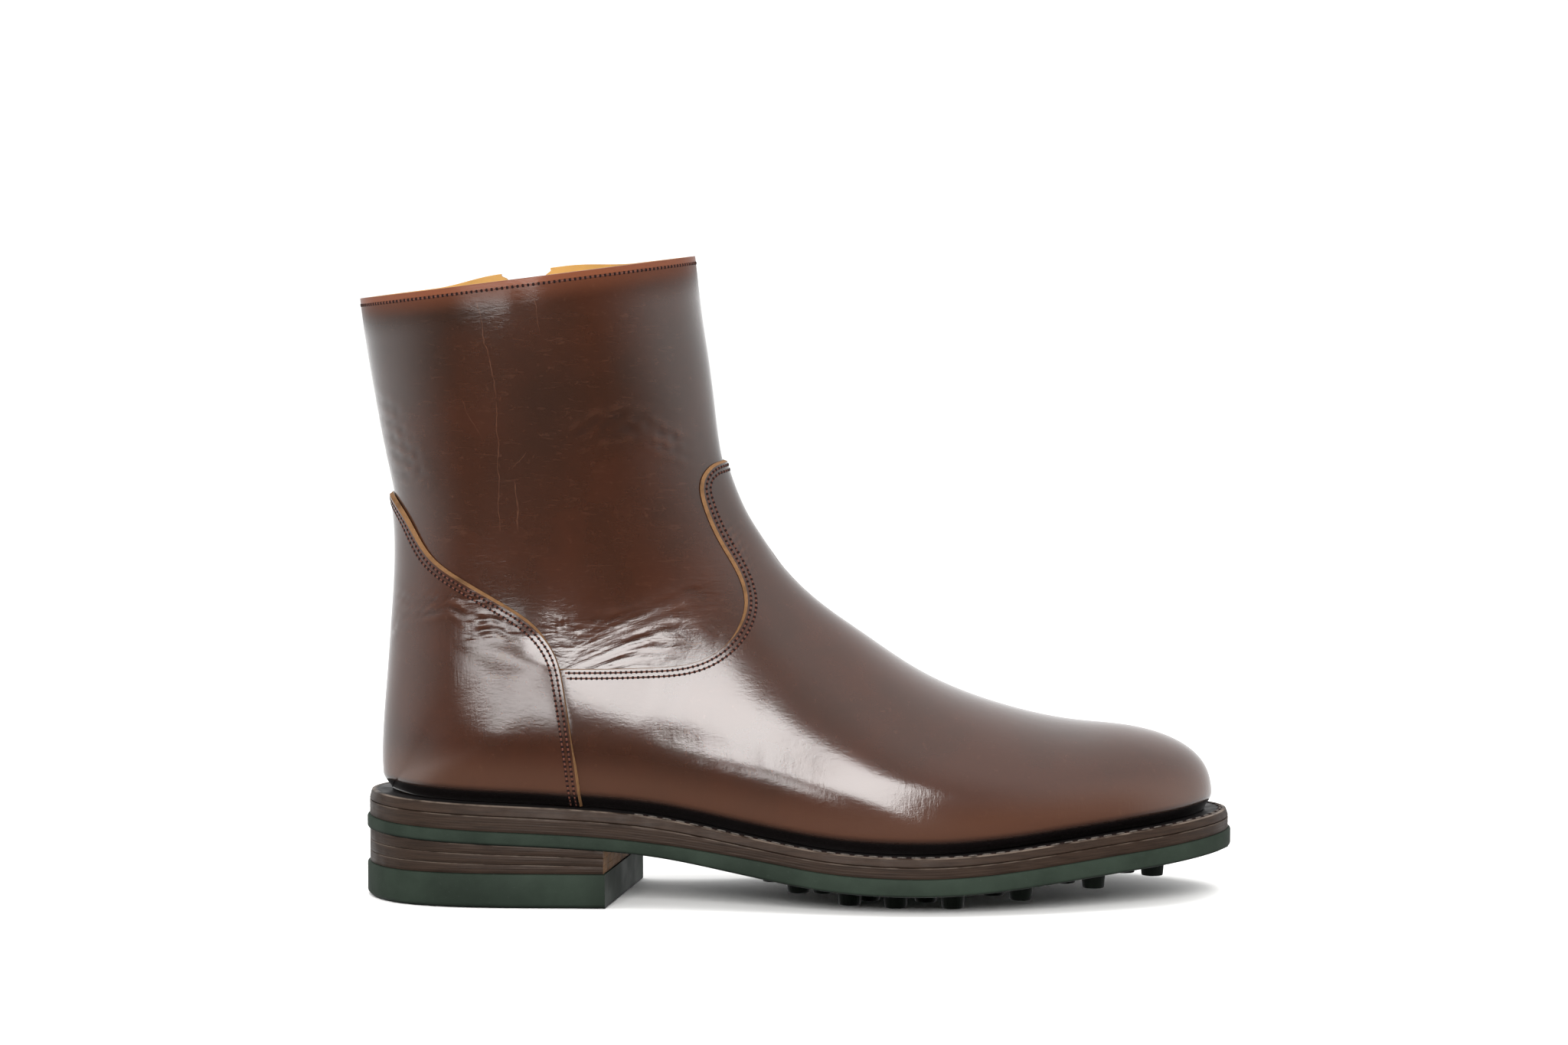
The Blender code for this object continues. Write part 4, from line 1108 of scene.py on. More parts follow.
def waxed_leather(name, colours, scarred):
    """Glossy dark brown waxed leather, redder low down, with painted shade in the creases and just above the
    welt, painted highlight on the creases' ridges and a painted floor reflection near the welt.
    """
    finish = Finish(name, Coat_Weight=0.9, Coat_Roughness=0.15, Coat_IOR=1.6, Specular_IOR_Level=0.04)
    mottle = finish.noise(26.0, 5.0, 0.6)
    cloud = finish.noise(9.0, 3.0, 0.5)
    low = finish.span(finish.part(finish.place, "Z"), 0.185, 0.06)
    warm = finish.math("MULTIPLY", finish.span(mottle, 0.3, 0.7), 0.7)
    warm = finish.math("ADD", warm, finish.math("MULTIPLY", low, 0.55))
    warm = finish.math("ADD", warm, finish.span(cloud, 0.35, 0.7, -0.25, 0.25), clamp=True)
    colour = finish.blend(warm, colours.leather_dark, colours.leather_red)
    fleck = finish.span(finish.noise(420.0, 4.0, 0.65), 0.6, 0.78, 0.0, 0.16)
    colour = finish.blend(fleck, colour, colours.leather_pale)
    # Painted shade: the troughs of the narrow creases darken towards the shade colour.
    trough = finish.span(finish.attribute("crease"), 0.05, -0.3)
    colour = finish.blend(finish.math("MULTIPLY", trough, 0.4), colour, colours.leather_shade)
    # Painted highlight: the creases' ridges are lightened towards the pale colour.
    ridge = finish.span(finish.attribute("crease"), 0.01, 0.11, 0.0, 0.09)
    colour = finish.blend(ridge, colour, colours.leather_pale)
    # Painted floor reflection: the leather turns lighter and warmer over the lowest 22 mm above the welt.
    painted_floor_reflection = finish.span(finish.attribute("low"), 22.0, 8.0, 0.0, 0.46)
    colour = finish.blend(painted_floor_reflection, colour, colours.leather_floor_reflection)
    if scarred:
        # Pale streaks along the shaft's fine wrinkles: scuffed tone and painted highlight.
        streak = finish.span(finish.noise(300.0, 4.0, 0.6, (0.55, 0.55, 2.4), 1.0), 0.56, 0.74, 0.0, 0.1)
        colour = finish.blend(streak, colour, colours.leather_pale)
        colour = finish.blend(scar_mask(finish), colour, colours.leather_pale)
        hem = finish.attribute("hem")
        colour = finish.blend(finish.span(hem, 2.0, 10.0, 0.65, 0.0), colour, colours.leather_hem)
        rim = finish.span(hem, 1.6, 2.6, 0.6, 0.0)
        colour = finish.blend(rim, colour, tint(colours.leather_hem, 1.9))
        finish.put(finish.surface.inputs["Coat Weight"], finish.span(hem, 3.0, 16.0, 0.2, 0.9))
    # Painted shade: the leather turns near black in the groove just above the welt.
    stain_and_shade = finish.span(finish.attribute("low"), 3.6, 6.8, 1.0, 0.0)
    colour = finish.blend(stain_and_shade, colour, colours.leather_shade)
    grain = finish.cells(1500.0)
    fine = finish.noise(2600.0, 2.0)
    wrinkle = finish.noise(330.0, 4.0, 0.6, (1.0, 1.0, 2.6), 0.6)
    finish.bump(grain, 0.012, 0.4)
    finish.bump(fine, 0.008, 0.4)
    finish.bump(wrinkle, 0.09 if scarred else 0.05, 0.5)
    if not scarred:
        hair = finish.noise(700.0, 3.0, 0.6, (1.0, 1.0, 0.16), 0.4)
        patch = finish.span(finish.noise(40.0, 2.0), 0.4, 0.65)
        finish.bump(finish.math("MULTIPLY", hair, patch), 0.09, 0.5)
    ridges = finish.noise(360.0, 3.0, 0.5, (0.17, 0.17, 1.0), 0.7)
    finish.bump(finish.math("MULTIPLY", ridges, finish.attribute("fold")), 0.35, 0.5)
    finish.bump(finish.noise(70.0, 3.0, 0.55), 0.12, 0.3)
    polish = finish.span(finish.noise(60.0, 4.0, 0.6), 0.3, 0.7, 0.42, 0.55)
    return finish.done(colour, polish)


def lining_leather(colours):
    """Smooth tan lining, darker where it has been handled."""
    finish = Finish("lining leather", Roughness=0.62, Specular_IOR_Level=0.35)
    colour = finish.blend(finish.span(finish.noise(38.0, 5.0, 0.6), 0.3, 0.7),
                          colours.lining, tint(colours.lining, 0.72))
    finish.bump(finish.cells(900.0), 0.05, 0.5)
    finish.bump(finish.noise(180.0, 4.0), 0.2, 0.3)
    return finish.done(colour, finish.span(finish.noise(90.0), 0.3, 0.7, 0.55, 0.72))


def cut_leather(name, base, light, dark):
    """The raw cut edge of a hide: fibrous and uneven, lighter and darker than its colour by two factors."""
    finish = Finish(name, Roughness=0.78, Specular_IOR_Level=0.25)
    fibre = finish.noise(900.0, 4.0, 0.7)
    colour = finish.blend(finish.span(fibre, 0.3, 0.7), base, tint(base, light))
    patches = finish.span(finish.noise(160.0, 3.0), 0.52, 0.75, 0.0, 0.7)
    colour = finish.blend(patches, colour, tint(base, dark))
    finish.bump(fibre, 0.12, 0.7)
    return finish.done(colour, finish.span(finish.noise(300.0), 0.3, 0.7, 0.7, 0.86))


def burnished_edge(colours):
    """Dyed and burnished sole leather edge: fine lines along the layers, a worn light line at the top."""
    finish = Finish("sole edge leather", Roughness=0.5, Specular_IOR_Level=0.12)
    base = colours.edge_leather
    dark = tint(base, 0.6)
    waver = finish.math("MULTIPLY_ADD", finish.noise(30.0, 3.0), 0.5, finish.attribute("ply"))
    lines = finish.math("SINE", finish.math("MULTIPLY", waver, 7.0))
    fibre = finish.noise(1.0, 5.0, 0.7, (55.0, 55.0, 900.0))
    colour = finish.blend(finish.span(fibre, 0.35, 0.68), base, dark)
    colour = finish.blend(finish.span(lines, 0.35, 1.0, 0.0, 0.2), colour, dark)
    worn = finish.math("MULTIPLY", finish.span(finish.attribute("rim"), 0.1, 0.5, 1.0, 0.0),
                       finish.span(finish.noise(120.0, 4.0), 0.35, 0.6))
    worn = finish.math("MULTIPLY", worn, finish.attribute("worn"))
    colour = finish.blend(worn, colour, colours.edge_worn)
    # The welt's dark stain with painted shade of the groove and the upper over it.
    colour = finish.blend(finish.attribute("stain_and_shade"), colour, STAIN_AND_SHADE)
    finish.bump(fibre, 0.06, 0.5)
    finish.bump(lines, 0.04, 0.4)
    return finish.done(colour, finish.span(finish.noise(150.0, 4.0), 0.3, 0.7, 0.42, 0.6))


def moulded_rubber(colours):
    """Dark green-black rubber with a faint bloom, and painted shade near black at its foot and on the lugs.
    """
    finish = Finish("outsole rubber", Roughness=0.6, Specular_IOR_Level=0.05)
    bloom = finish.span(finish.noise(24.0, 5.0, 0.6), 0.35, 0.7)
    colour = finish.blend(bloom, colours.rubber, tint(colours.rubber, 1.7))
    specks = finish.span(finish.noise(1400.0, 2.0), 0.66, 0.78, 0.0, 0.25)
    colour = finish.blend(specks, colour, RUBBER_DUST)
    # Painted shade under the sole: the lowest 1.2 mm of the rubber and the lugs, which carry no height, turn
    # near black.
    foot = finish.span(finish.attribute("ply"), 0.0, 1.2, 0.8, 0.0)
    colour = finish.blend(foot, colour, tint(colours.rubber, 0.15))
    finish.bump(finish.noise(1100.0, 3.0), 0.04, 0.6)
    finish.bump(finish.noise(130.0, 3.0), 0.18, 0.3)
    return finish.done(colour, finish.span(finish.noise(70.0, 4.0), 0.3, 0.7, 0.55, 0.7))


def insole_leather(colours):
    """Plain vegetable-tanned insole, a little polished."""
    finish = Finish("insole leather", Roughness=0.55)
    colour = finish.blend(finish.span(finish.noise(20.0, 5.0, 0.6), 0.3, 0.7),
                          colours.insole, tint(colours.insole, 0.62))
    finish.bump(finish.cells(700.0), 0.06, 0.5)
    return finish.done(colour, finish.span(finish.noise(60.0), 0.3, 0.7, 0.45, 0.65))


def sewing_thread(name, base):
    """Waxed thread with its twist."""
    finish = Finish(name, Roughness=0.75, Specular_IOR_Level=0.1)
    twist = finish.noise(1800.0, 2.0, 0.5)
    colour = finish.blend(finish.span(twist, 0.35, 0.65), base, tint(base, 0.5))
    finish.bump(twist, 0.08, 0.6)
    return finish.done(colour)


# Near black: painted shade inside the needle holes.
def needle_hole():
    finish = Finish("needle hole", Roughness=0.9, Specular_IOR_Level=0.1)
    colour = finish.blend(finish.noise(1500.0), *HOLE_SHADE_COLOURS)
    return finish.done(colour)


def woven_tape(colours):
    """Woven zip tape: fine ribs along and across."""
    finish = Finish("zip tape fabric", Roughness=0.9, Sheen_Weight=0.35, Specular_IOR_Level=0.2)
    warp = finish.wave(520.0, "X")
    weft = finish.wave(420.0, "Z")
    weave = finish.math("MULTIPLY", warp, weft)
    colour = finish.blend(weave, tint(colours.zip_fabric, 0.5), colours.zip_fabric)
    finish.bump(weave, 0.15, 0.7)
    return finish.done(colour)


def dark_metal(colours):
    """Gunmetal zip parts, brighter where they rub."""
    finish = Finish("zip metal", Metallic=1.0, Roughness=0.3)
    rub = finish.span(finish.noise(160.0, 5.0, 0.65), 0.45, 0.7)
    colour = finish.blend(rub, colours.zip_metal, tint(colours.zip_metal, 1.8))
    finish.bump(finish.noise(1300.0, 3.0), 0.015, 0.5)
    return finish.done(colour, finish.span(finish.noise(260.0, 4.0), 0.3, 0.7, 0.22, 0.42))


def studio_floor(stage):
    """Pale matt paper."""
    finish = Finish("pale floor", Roughness=0.7, Specular_IOR_Level=0.2)
    tone = stage.floor_colour
    colour = finish.blend(finish.span(finish.noise(3.0, 4.0), 0.3, 0.7), tone, tint(tone, 0.985))
    finish.bump(finish.noise(900.0, 3.0), 0.03, 0.2)
    return finish.done(colour)


# Upper, vamp and counter

def chart_grid(name, columns, parts):
    """A grid laid over the last, with each vertex's row and place across kept on the mesh."""
    rows = [np.linspace(first, last, steps, endpoint=False) for first, last, steps in parts]
    rows = np.concatenate(rows + [[parts[-1][1]]])
    thing = add_grid(name, columns[-1][0], len(rows) - 1)
    flat = coordinates(thing)
    row = rows[grid_steps(flat, 1, len(rows) - 1)]
    across = np.interp(grid_steps(flat, 0, columns[-1][0]), *zip(*columns))
    store(thing, "row", row)
    store(thing, "across", across)
    point, _normal = last_frame(row, across)
    set_points(thing, point)
    with editing(thing):
        bpy.ops.mesh.quads_convert_to_tris(quad_method="FIXED")
        bpy.ops.mesh.select_all(action="SELECT")
        bpy.ops.mesh.remove_doubles(threshold=2e-6)
    return thing


def thicken(thing):
    """Pulls a sheet up into a closed wall and returns which vertices are its new outer face."""
    with editing(thing, "FACE"):
        bpy.ops.mesh.extrude_region_move()
    outer = selected_vertices(thing)
    with editing(thing, "FACE"):
        bpy.ops.mesh.quads_convert_to_tris(quad_method="FIXED")
    return outer


def vamp_line():
    """The vamp's edge: up under the counter, then along its seam to the shin."""
    counter = smooth_line(COUNTER_SEAM, SEAM_STEPS)
    lower = counter[counter[:, 1] < VAMP_SEAM[0].z - 2.0] - (VAMP_UNDER, 0.0)
    corner = (VAMP_SEAM[0].x - VAMP_UNDER, VAMP_SEAM[0].z)
    return np.concatenate((lower, [corner], smooth_line(VAMP_SEAM, SEAM_STEPS)))


def slot_outline():
    """Outline of the zip's slot in the leather, flared to a notch at the collar."""
    up, side = zip_directions()
    length = math.dist(ZIP_TOP, ZIP_END)
    turns = np.linspace(0, np.pi, 13)
    end = [zip_point(length) - SLOT_HALF * (math.cos(a) * side + math.sin(a) * up) for a in turns]
    flare = []
    for share in np.linspace(0, 1, 8):
        half = SLOT_HALF + (SLOT_FLARE - SLOT_HALF) * (1 - math.sqrt(1 - share ** 2))
        flare.append((half, SLOT_FLARE_DROP * (1 - share) - 1.5 * share))
    right = [zip_point(drop) + half * side for half, drop in flare]
    left = [zip_point(drop) - half * side for half, drop in reversed(flare)]
    above = zip_point(-16.0)
    return end + right + [above + SLOT_FLARE * side, above - SLOT_FLARE * side] + left


def zip_directions():
    """Side-view directions up the zip and across it."""
    up = np.array(ZIP_TOP) - np.array(ZIP_END)
    up /= np.linalg.norm(up)
    return up, np.array((up[1], -up[0]))


def zip_point(drop):
    """Side-view point of the zip's line at a drop below its top."""
    return np.array(ZIP_TOP) - drop * zip_directions()[0]


def zip_distance(points):
    """Side-view distance of points from the slot's edge on the inner side, large elsewhere."""
    line = np.array([zip_point(-20.0), zip_point(math.dist(ZIP_TOP, ZIP_END))])
    return np.where(points[:, 1] > INNER_Y, np.abs(left_of(points, line)) - SLOT_HALF, FAR)


def cut_slot(thing):
    """Cuts the zip's slot out of a leather piece."""
    cutter = cut_prism("slot_cutter", slot_outline(), *SLOT_CUT)
    cut_away(thing, cutter)
    remove(cutter)


def shade_values(thing, creases, strength):
    """Numbers that the leather's finish reads: height above the welt, creases and distance below the hem."""
    points = millimetres(coordinates(thing))
    store(thing, "low", points[:, 2] - welt_top(points[:, 0]))
    narrow = [crease for crease in creases if crease.width < WIDE_CREASE]
    store(thing, "crease", crease_depth(points, narrow, strength))
    store(thing, "fold", fold_share(points, narrow))
    collar = GIRTHS[-1]
    slope = (collar.over_z - collar.under_z) / (collar.over_x - collar.under_x)
    store(thing, "hem", collar.under_z + slope * (points[:, 0] - collar.under_x) - points[:, 2])


def keep_lines(name, thing, outer, values, levels, wanted):
    """Remembers the stitch lines of a piece where a value over its outer face takes the levels.

    wanted tells which points of a line are kept.
    """
    points = millimetres(coordinates(thing))
    normals = np.empty(len(points) * 3, np.float32)
    thing.data.vertex_normals.foreach_get("vector", normals)
    normals = normals.reshape(-1, 3).astype(float)
    triangles = face_vertices(thing)
    triangles = triangles[outer[triangles].all(axis=1)]
    for level in levels:
        for points_on, normals_on in contour(points, normals, values, triangles, level):
            good = wanted(points_on)
            cuts = np.flatnonzero(np.diff(good.astype(int))) + 1
            for run in np.split(np.arange(len(points_on)), cuts):
                if good[run[0]] and len(run) > 3:
                    stitch_lines.setdefault(name, []).append((points_on[run], normals_on[run]))


def clear_of_zip(points):
    return zip_distance(points) > SLOT_CLEAR


def build_upper(sizes, colours):
    """The upper: one hollow wall with its lining, the zip's slot cut through it."""
    thing = chart_grid("upper_leather", UPPER_COLUMNS, UPPER_ROWS)
    outer = thicken(thing)
    row, across = fetch(thing, "row"), fetch(thing, "across")
    points = leather_points(row, across, 0.0, SHAFT_CREASES, sizes.crease_depth)
    inside, normal = last_frame(row, across)
    inside -= WALL * normal
    inside[:, 2] = np.maximum(inside[:, 2], welt_top(inside[:, 0]) + GAP)
    set_points(thing, np.where(outer[:, None], points, inside))
    base = skin(row, across)
    below = np.linalg.norm(skin(np.full_like(row, TOP_ROW), across) - base, axis=1)
    keep_lines("collar", thing, outer, np.where(row > SHAFT_ROW, below, FAR), (COLLAR_ROW,), clear_of_zip)
    keep_lines("zip", thing, outer, zip_distance(base), ZIP_ROWS, on_shaft)
    corners = face_vertices(thing)
    leather = outer[corners].all(axis=1) | (row[corners] > TOP_ROW - 1e-4).all(axis=1)
    face_material(thing, np.where(leather, 0, 1))
    soften_collar(thing, outer, row)
    cut_slot(thing)
    forget(thing, "row", "across")
    shade_values(thing, SHAFT_CREASES, sizes.crease_depth)
    smooth_piece(thing, 50)
    finish_piece(thing, "boot", ("upper",),
                 (waxed_leather("shaft leather", colours, True), lining_leather(colours)))


def on_shaft(points):
    """Places of the zip's rows that show above the vamp and counter."""
    over_vamp = left_of(points, vamp_line()) > 1.0
    over_counter = left_of(points, smooth_line(COUNTER_SEAM, SEAM_STEPS)) < -1.0
    drop = (np.array(ZIP_TOP) - points[:, (0, 2)]) @ zip_directions()[0]
    below_flare = drop > SLOT_FLARE_DROP + 3.0
    return over_vamp & over_counter & below_flare & (points[:, 1] > INNER_Y) & (points[:, 2] > VAMP_SEAM[0].z)


def soften_collar(thing, outer, row):
    """Rounds the collar's two edges over."""
    top = row > TOP_ROW - 1e-4
    ends = edge_vertices(thing)
    chosen = top[ends].all(axis=1) & (outer[ends[:, 0]] == outer[ends[:, 1]])
    select_faces(thing, np.zeros(len(thing.data.polygons), bool))
    thing.data.edges.foreach_set("select", chosen)
    with editing(thing, "EDGE", everything=False):
        bpy.ops.mesh.bevel(offset=COLLAR_ROUND * MM, segments=3, profile=0.5, affect="EDGES",
                           clamp_overlap=True)


def snap_to_edge(row, across, values, ends, level):
    """Moves the chart's vertices next to a level of a value onto it, so that no edge crosses it."""
    row = row.copy()
    across = across.copy()
    first, second = ends[:, 0], ends[:, 1]
    crossing = (values[first] - level) * (values[second] - level) < 0
    first, second = first[crossing], second[crossing]
    share = (level - values[first]) / (values[second] - values[first])
    mover = np.where(share < 0.5, first, second)
    other = np.where(share < 0.5, second, first)
    part = np.where(share < 0.5, share, 1 - share)
    order = np.argsort(-part)
    mover, other, part = mover[order], other[order], part[order]
    turn = (across[other] - across[mover] + 1) % 2 - 1
    moved_row = row[mover] + (row[other] - row[mover]) * part
    moved_across = (across[mover] + turn * part + 1) % 2 - 1
    row[mover] = moved_row
    across[mover] = moved_across
    snapped = np.zeros(len(row), bool)
    snapped[mover] = True
    return row, across, snapped


def overlay(name, columns, rows, line, side, base, layer, creases, strength, foot=None):
    """A leather piece cut along a side-view line out of the last's surface, with a slanted raw edge.

    base, layer and foot give its lower level, its thickness and its inner face's level at points. Without a
    foot the inner face lies on the base.
    """
    thing = chart_grid(name, columns, rows)
    row, across = fetch(thing, "row"), fetch(thing, "across")
    point, normal = last_frame(row, across)
    inside, _way = surface_distance(point, normal, line, side)
    row, across, snapped = snap_to_edge(row, across, inside, edge_vertices(thing), RAW_EDGE)
    store(thing, "row", row)
    store(thing, "across", across)
    kept = np.where(snapped, RAW_EDGE, inside) > RAW_EDGE - 1e-6
    store(thing, "cut", snapped)
    set_points(thing, skin(row, across))
    select_faces(thing, ~kept[face_vertices(thing)].all(axis=1))
    with editing(thing, "FACE", everything=False):
        bpy.ops.mesh.delete(type="FACE")
    outer = thicken(thing)
    row, across, cut = fetch(thing, "row"), fetch(thing, "across"), fetch(thing, "cut") > 0.5
    point, normal = last_frame(row, across)
    inside, way = surface_distance(point, normal, line, side)
    under = base(point)
    points = leather_points(row, across, under + layer(point), creases, strength)
    inner = leather_points(row, across, foot(point) if foot else under, (), strength)
    steep = smoothstep(*STEEP_LOW, point[:, 2]) * smoothstep(*STEEP_HIGH, point[:, 2])
    slant = RAW_EDGE + (RAW_STEEP - RAW_EDGE) * steep
    inner[cut] -= (slant[:, None] * way)[cut]
    set_points(thing, np.where(outer[:, None], points, inner))
    faces = face_vertices(thing)
    wall = outer[faces].any(axis=1) & ~outer[faces].all(axis=1) & cut[faces].any(axis=1)
    face_material(thing, np.where(wall, 1, 0))
    return thing, outer, inside


def finish_overlay(thing, creases, sizes, colours, node, finish_name):
    """Cuts the slot and gives an overlay its looks."""
    cut_slot(thing)
    forget(thing, "row", "across", "cut")
    shade_values(thing, creases, sizes.crease_depth)
    smooth_piece(thing)
    raw = cut_leather(f"{finish_name} cut edge", colours.raw_edge, 1.35, 0.45)
    finish_piece(thing, "boot", (node,), (waxed_leather(finish_name, colours, False), raw))


def build_vamp(sizes, colours):
    """The vamp over the foot and the instep."""
    creases = VAMP_CREASES + PUCKERS
    seam = smooth_line(COUNTER_SEAM, SEAM_STEPS)

    def skived(points):
        return VAMP_THICK * (1 - 0.8 * smoothstep(0.5, VAMP_UNDER, left_of(points, seam)))

    thing, outer, inside = overlay("vamp_leather", VAMP_COLUMNS, VAMP_ROWS, vamp_line(), -1,
                                   lambda points: OVERLAY_BASE, skived, creases, sizes.crease_depth)

    def shown(points):
        return clear_of_zip(points) & (left_of(points, seam) < -0.6)

    keep_lines("seams", thing, outer, inside, SEAM_ROWS, shown)
    finish_overlay(thing, creases, sizes, colours, "vamp", "vamp leather")


def build_counter(sizes, colours):
    """The counter round the heel, lapping over the vamp's rear edge."""
    seam = smooth_line(COUNTER_SEAM, SEAM_STEPS)

    def over_vamp(points, end=LAP_RISE):
        lap = smoothstep(LAP_END, 1.0, left_of(points, seam))
        lap *= smoothstep(VAMP_SEAM[0].z + end, VAMP_SEAM[0].z, points[:, 2])
        return OVERLAY_BASE + (VAMP_THICK + LAP_GAP) * lap

    def inner_level(points):
        return over_vamp(points, LAP_RISE_INNER)

    thing, outer, inside = overlay("counter_leather", COUNTER_COLUMNS, COUNTER_ROWS, seam, 1, over_vamp,
                                   lambda points: COUNTER_THICK, COUNTER_CREASES, sizes.crease_depth,
                                   inner_level)
    keep_lines("seams", thing, outer, inside, SEAM_ROWS, clear_of_zip)
    finish_overlay(thing, COUNTER_CREASES, sizes, colours, "heel_counter", "counter leather")


# Stitching

def stitch_pattern(name, length, width, height):
    """One stitch: a low capsule along x."""
    stitch = add_shape(name, bpy.ops.mesh.primitive_uv_sphere_add, segments=8, ring_count=5, radius=0.5 * MM)
    points = coordinates(stitch) / MM
    round_end = np.sign(points[:, 2]) * np.abs(points[:, 2] * 2) ** 0.6 / 2
    points = np.stack([round_end * length, points[:, 1] * width, points[:, 0] * height], axis=1)
    stitch.data.vertices.foreach_set("co", (points * MM).astype(np.float32).ravel())
    return stitch


def hole_pattern(name, width):
    """One needle hole: a shallow dark dimple, whose darkness is the hole's painted shade."""
    hole = add_shape(name, bpy.ops.mesh.primitive_uv_sphere_add, segments=8, ring_count=4,
                     radius=0.5 * width * MM)
    bpy.ops.transform.resize(value=HOLE_SHAPE)
    bpy.ops.object.transform_apply(location=False, rotation=False, scale=True)
    return hole


def build_stitches(name, lines, pitch, width, thread):
    """A piece of all stitches along lines, with the needle holes between them."""
    stitch = stitch_pattern(f"{name}_one", pitch * STITCH_LENGTH, width, width * STITCH_HEIGHT)
    hole = hole_pattern(f"{name}_hole", width * HOLE_WIDTH)
    groups = [stepped(line, pitch) for line in lines]
    groups = [group for group in groups if len(group[0])]
    place, ahead, up = (np.concatenate(part) for part in zip(*groups))
    turns = frames_of(ahead, up)
    along, out = turns[:, :, 0], turns[:, :, 2]
    thing = scatter(name, stitch, place + STITCH_LIFT * out, turns)
    holes = scatter(f"{name}_holes", hole, place + 0.5 * pitch * along + HOLE_LIFT * out, turns)
    for pattern in (stitch, hole):
        remove(pattern)
    thing.data.materials.append(thread)
    holes.data.materials.append(needle_hole())
    join(thing, holes)
    finish_piece(thing, "boot", ())


def welt_stitch_line():
    """The welt's stitch row on its top beside the upper, from the waist round the toe and back."""
    loop = feather_loop(WELT_ROW_STEPS, WELT_GROOVE)
    loop = loop[loop[:, 0] > WELT_ROW_START]
    points = np.stack([loop[:, 0], loop[:, 1], welt_top(loop[:, 0]) - 0.05], axis=1)
    return points, np.tile((0.0, 0.0, 1.0), (len(points), 1))


def build_stitching(sizes, colours):
    """All visible rows of stitches."""
    if not stitch_lines:
        raise RuntimeError("the leather pieces come before the stitching")
    fine = sewing_thread("seam thread", colours.thread)
    coarse = sewing_thread("welt thread", colours.welt_thread)
    rows = (("seam_stitching", "seams", 1.0), ("collar_stitching", "collar", 1.0),
            ("zip_stitching", "zip", ZIP_STITCH))
    for name, line, stretch in rows:
        build_stitches(name, stitch_lines[line], stretch * sizes.stitch_pitch, sizes.stitch_width, fine)
    build_stitches("welt_stitching", [welt_stitch_line()], WELT_PITCH, WELT_STITCH, coarse)


# Sole and heel

def store_wear(thing, ply, rim, stain_and_shade, worn):
    """Numbers that the sole's finishes read: height in the layer, depth below its top, dark stain with
    painted shade, and wear.
    """
    count = len(thing.data.vertices)
    for name, values in (("ply", ply), ("rim", rim), ("stain_and_shade", stain_and_shade), ("worn", worn)):
        store(thing, name, np.broadcast_to(values, count))


def sole_loft(name, wall, stations, across_steps, ends=None, camber=0.0):
    """A sole layer lofted along the boot, its side given by (offset from the feather line, height) pairs.

    ends gives the outer and inner x where the layer stops short of the toe, for the heel.
    """
    outlines = [Outline(offset) for offset, _height in wall]
    last = len(wall) - 1
    inward = np.linspace(0, 1, across_steps + 1)
    ring = [(0, k) for k in inward] + [(i, 1.0) for i in range(1, last)]
    ring += [(last, k) for k in inward[::-1]] + [(i, 0.0) for i in range(last - 1, 0, -1)] + [(0, 0.0)]
    thing = add_grid(name, len(ring) - 1, stations)
    flat = coordinates(thing)
    column = grid_steps(flat, 0, len(ring) - 1)
    share = (flat[:, 1] + 1) / 2
    reach = 1 - np.cos(np.pi * share / 2) if ends else (1 - np.cos(np.pi * share)) / 2
    points = np.zeros((len(flat), 3))
    ply = np.zeros(len(flat))
    rim = np.zeros(len(flat))
    for number, (level, k) in enumerate(ring):
        here = column == number
        outline = outlines[level]
        height = wall[level][1]
        outer_end, inner_end = ends or (outline.toe[0], outline.toe[0])
        outer_x = outline.rear[0] + (outer_end - outline.rear[0]) * reach[here]
        inner_x = outline.rear[0] + (inner_end - outline.rear[0]) * reach[here]
        x = outer_x + (inner_x - outer_x) * k
        y = outline.lateral(outer_x) + (outline.medial(inner_x) - outline.lateral(outer_x)) * k
        bulge = 4 * k * (1 - k) * camber * smoothstep(LAYERS_START, LAYERS_END, x) * (level == 0)
        points[here] = np.stack([x, y, height(x) - bulge], axis=1)
        ply[here] = height(x) - wall[0][1](x)
        rim[here] = wall[last][1](x) - height(x)
    store_wear(thing, ply, rim, 0.0, SIDE_WEAR)
    set_points(thing, points)
    with editing(thing):
        bpy.ops.mesh.remove_doubles(threshold=5e-6)
        bpy.ops.mesh.select_all(action="SELECT")
        bpy.ops.mesh.dissolve_degenerate(threshold=5e-6)
        bpy.ops.mesh.select_all(action="DESELECT")
        bpy.ops.mesh.select_non_manifold(extend=False, use_wire=False, use_multi_face=False,
                                         use_non_contiguous=False, use_verts=False)
        if ends:
            bpy.ops.mesh.edge_face_add()
    outward_volume(thing)
    return thing


def eased_wall(reach, low, high, inset_low, inset_high, radius):
    """A side wall between two heights with eased edges, its insets given below and above."""
    return [
        (reach - inset_low - radius, low),
        (reach - inset_low - 0.3 * radius, lambda x: low(x) + 0.3 * radius),
        (reach - inset_low, lambda x: low(x) + radius),
        (reach - inset_high, lambda x: high(x) - radius),
        (reach - inset_high - 0.3 * radius, lambda x: high(x) - 0.3 * radius),
        (reach - inset_high - radius, high),
    ]


def ringed_wall(reach, low, high, inset_low, inset_high, grooves, depth):
    """An eased side wall with shallow grooves along it."""
    wall = eased_wall(reach, low, high, inset_low, inset_high, 0.25)
    body = []
    for i in range(1, grooves + 1):
        for shift, sink in ((-0.45, 0.0), (0.0, depth), (0.45, 0.0)):
            def height(x, i=i, shift=shift):
                return low(x) + (high(x) - low(x)) * i / (grooves + 1) + shift
            inset = inset_low + (inset_high - inset_low) * i / (grooves + 1)
            body.append((reach - inset - sink, height))
    return wall[:3] + body + wall[3:]


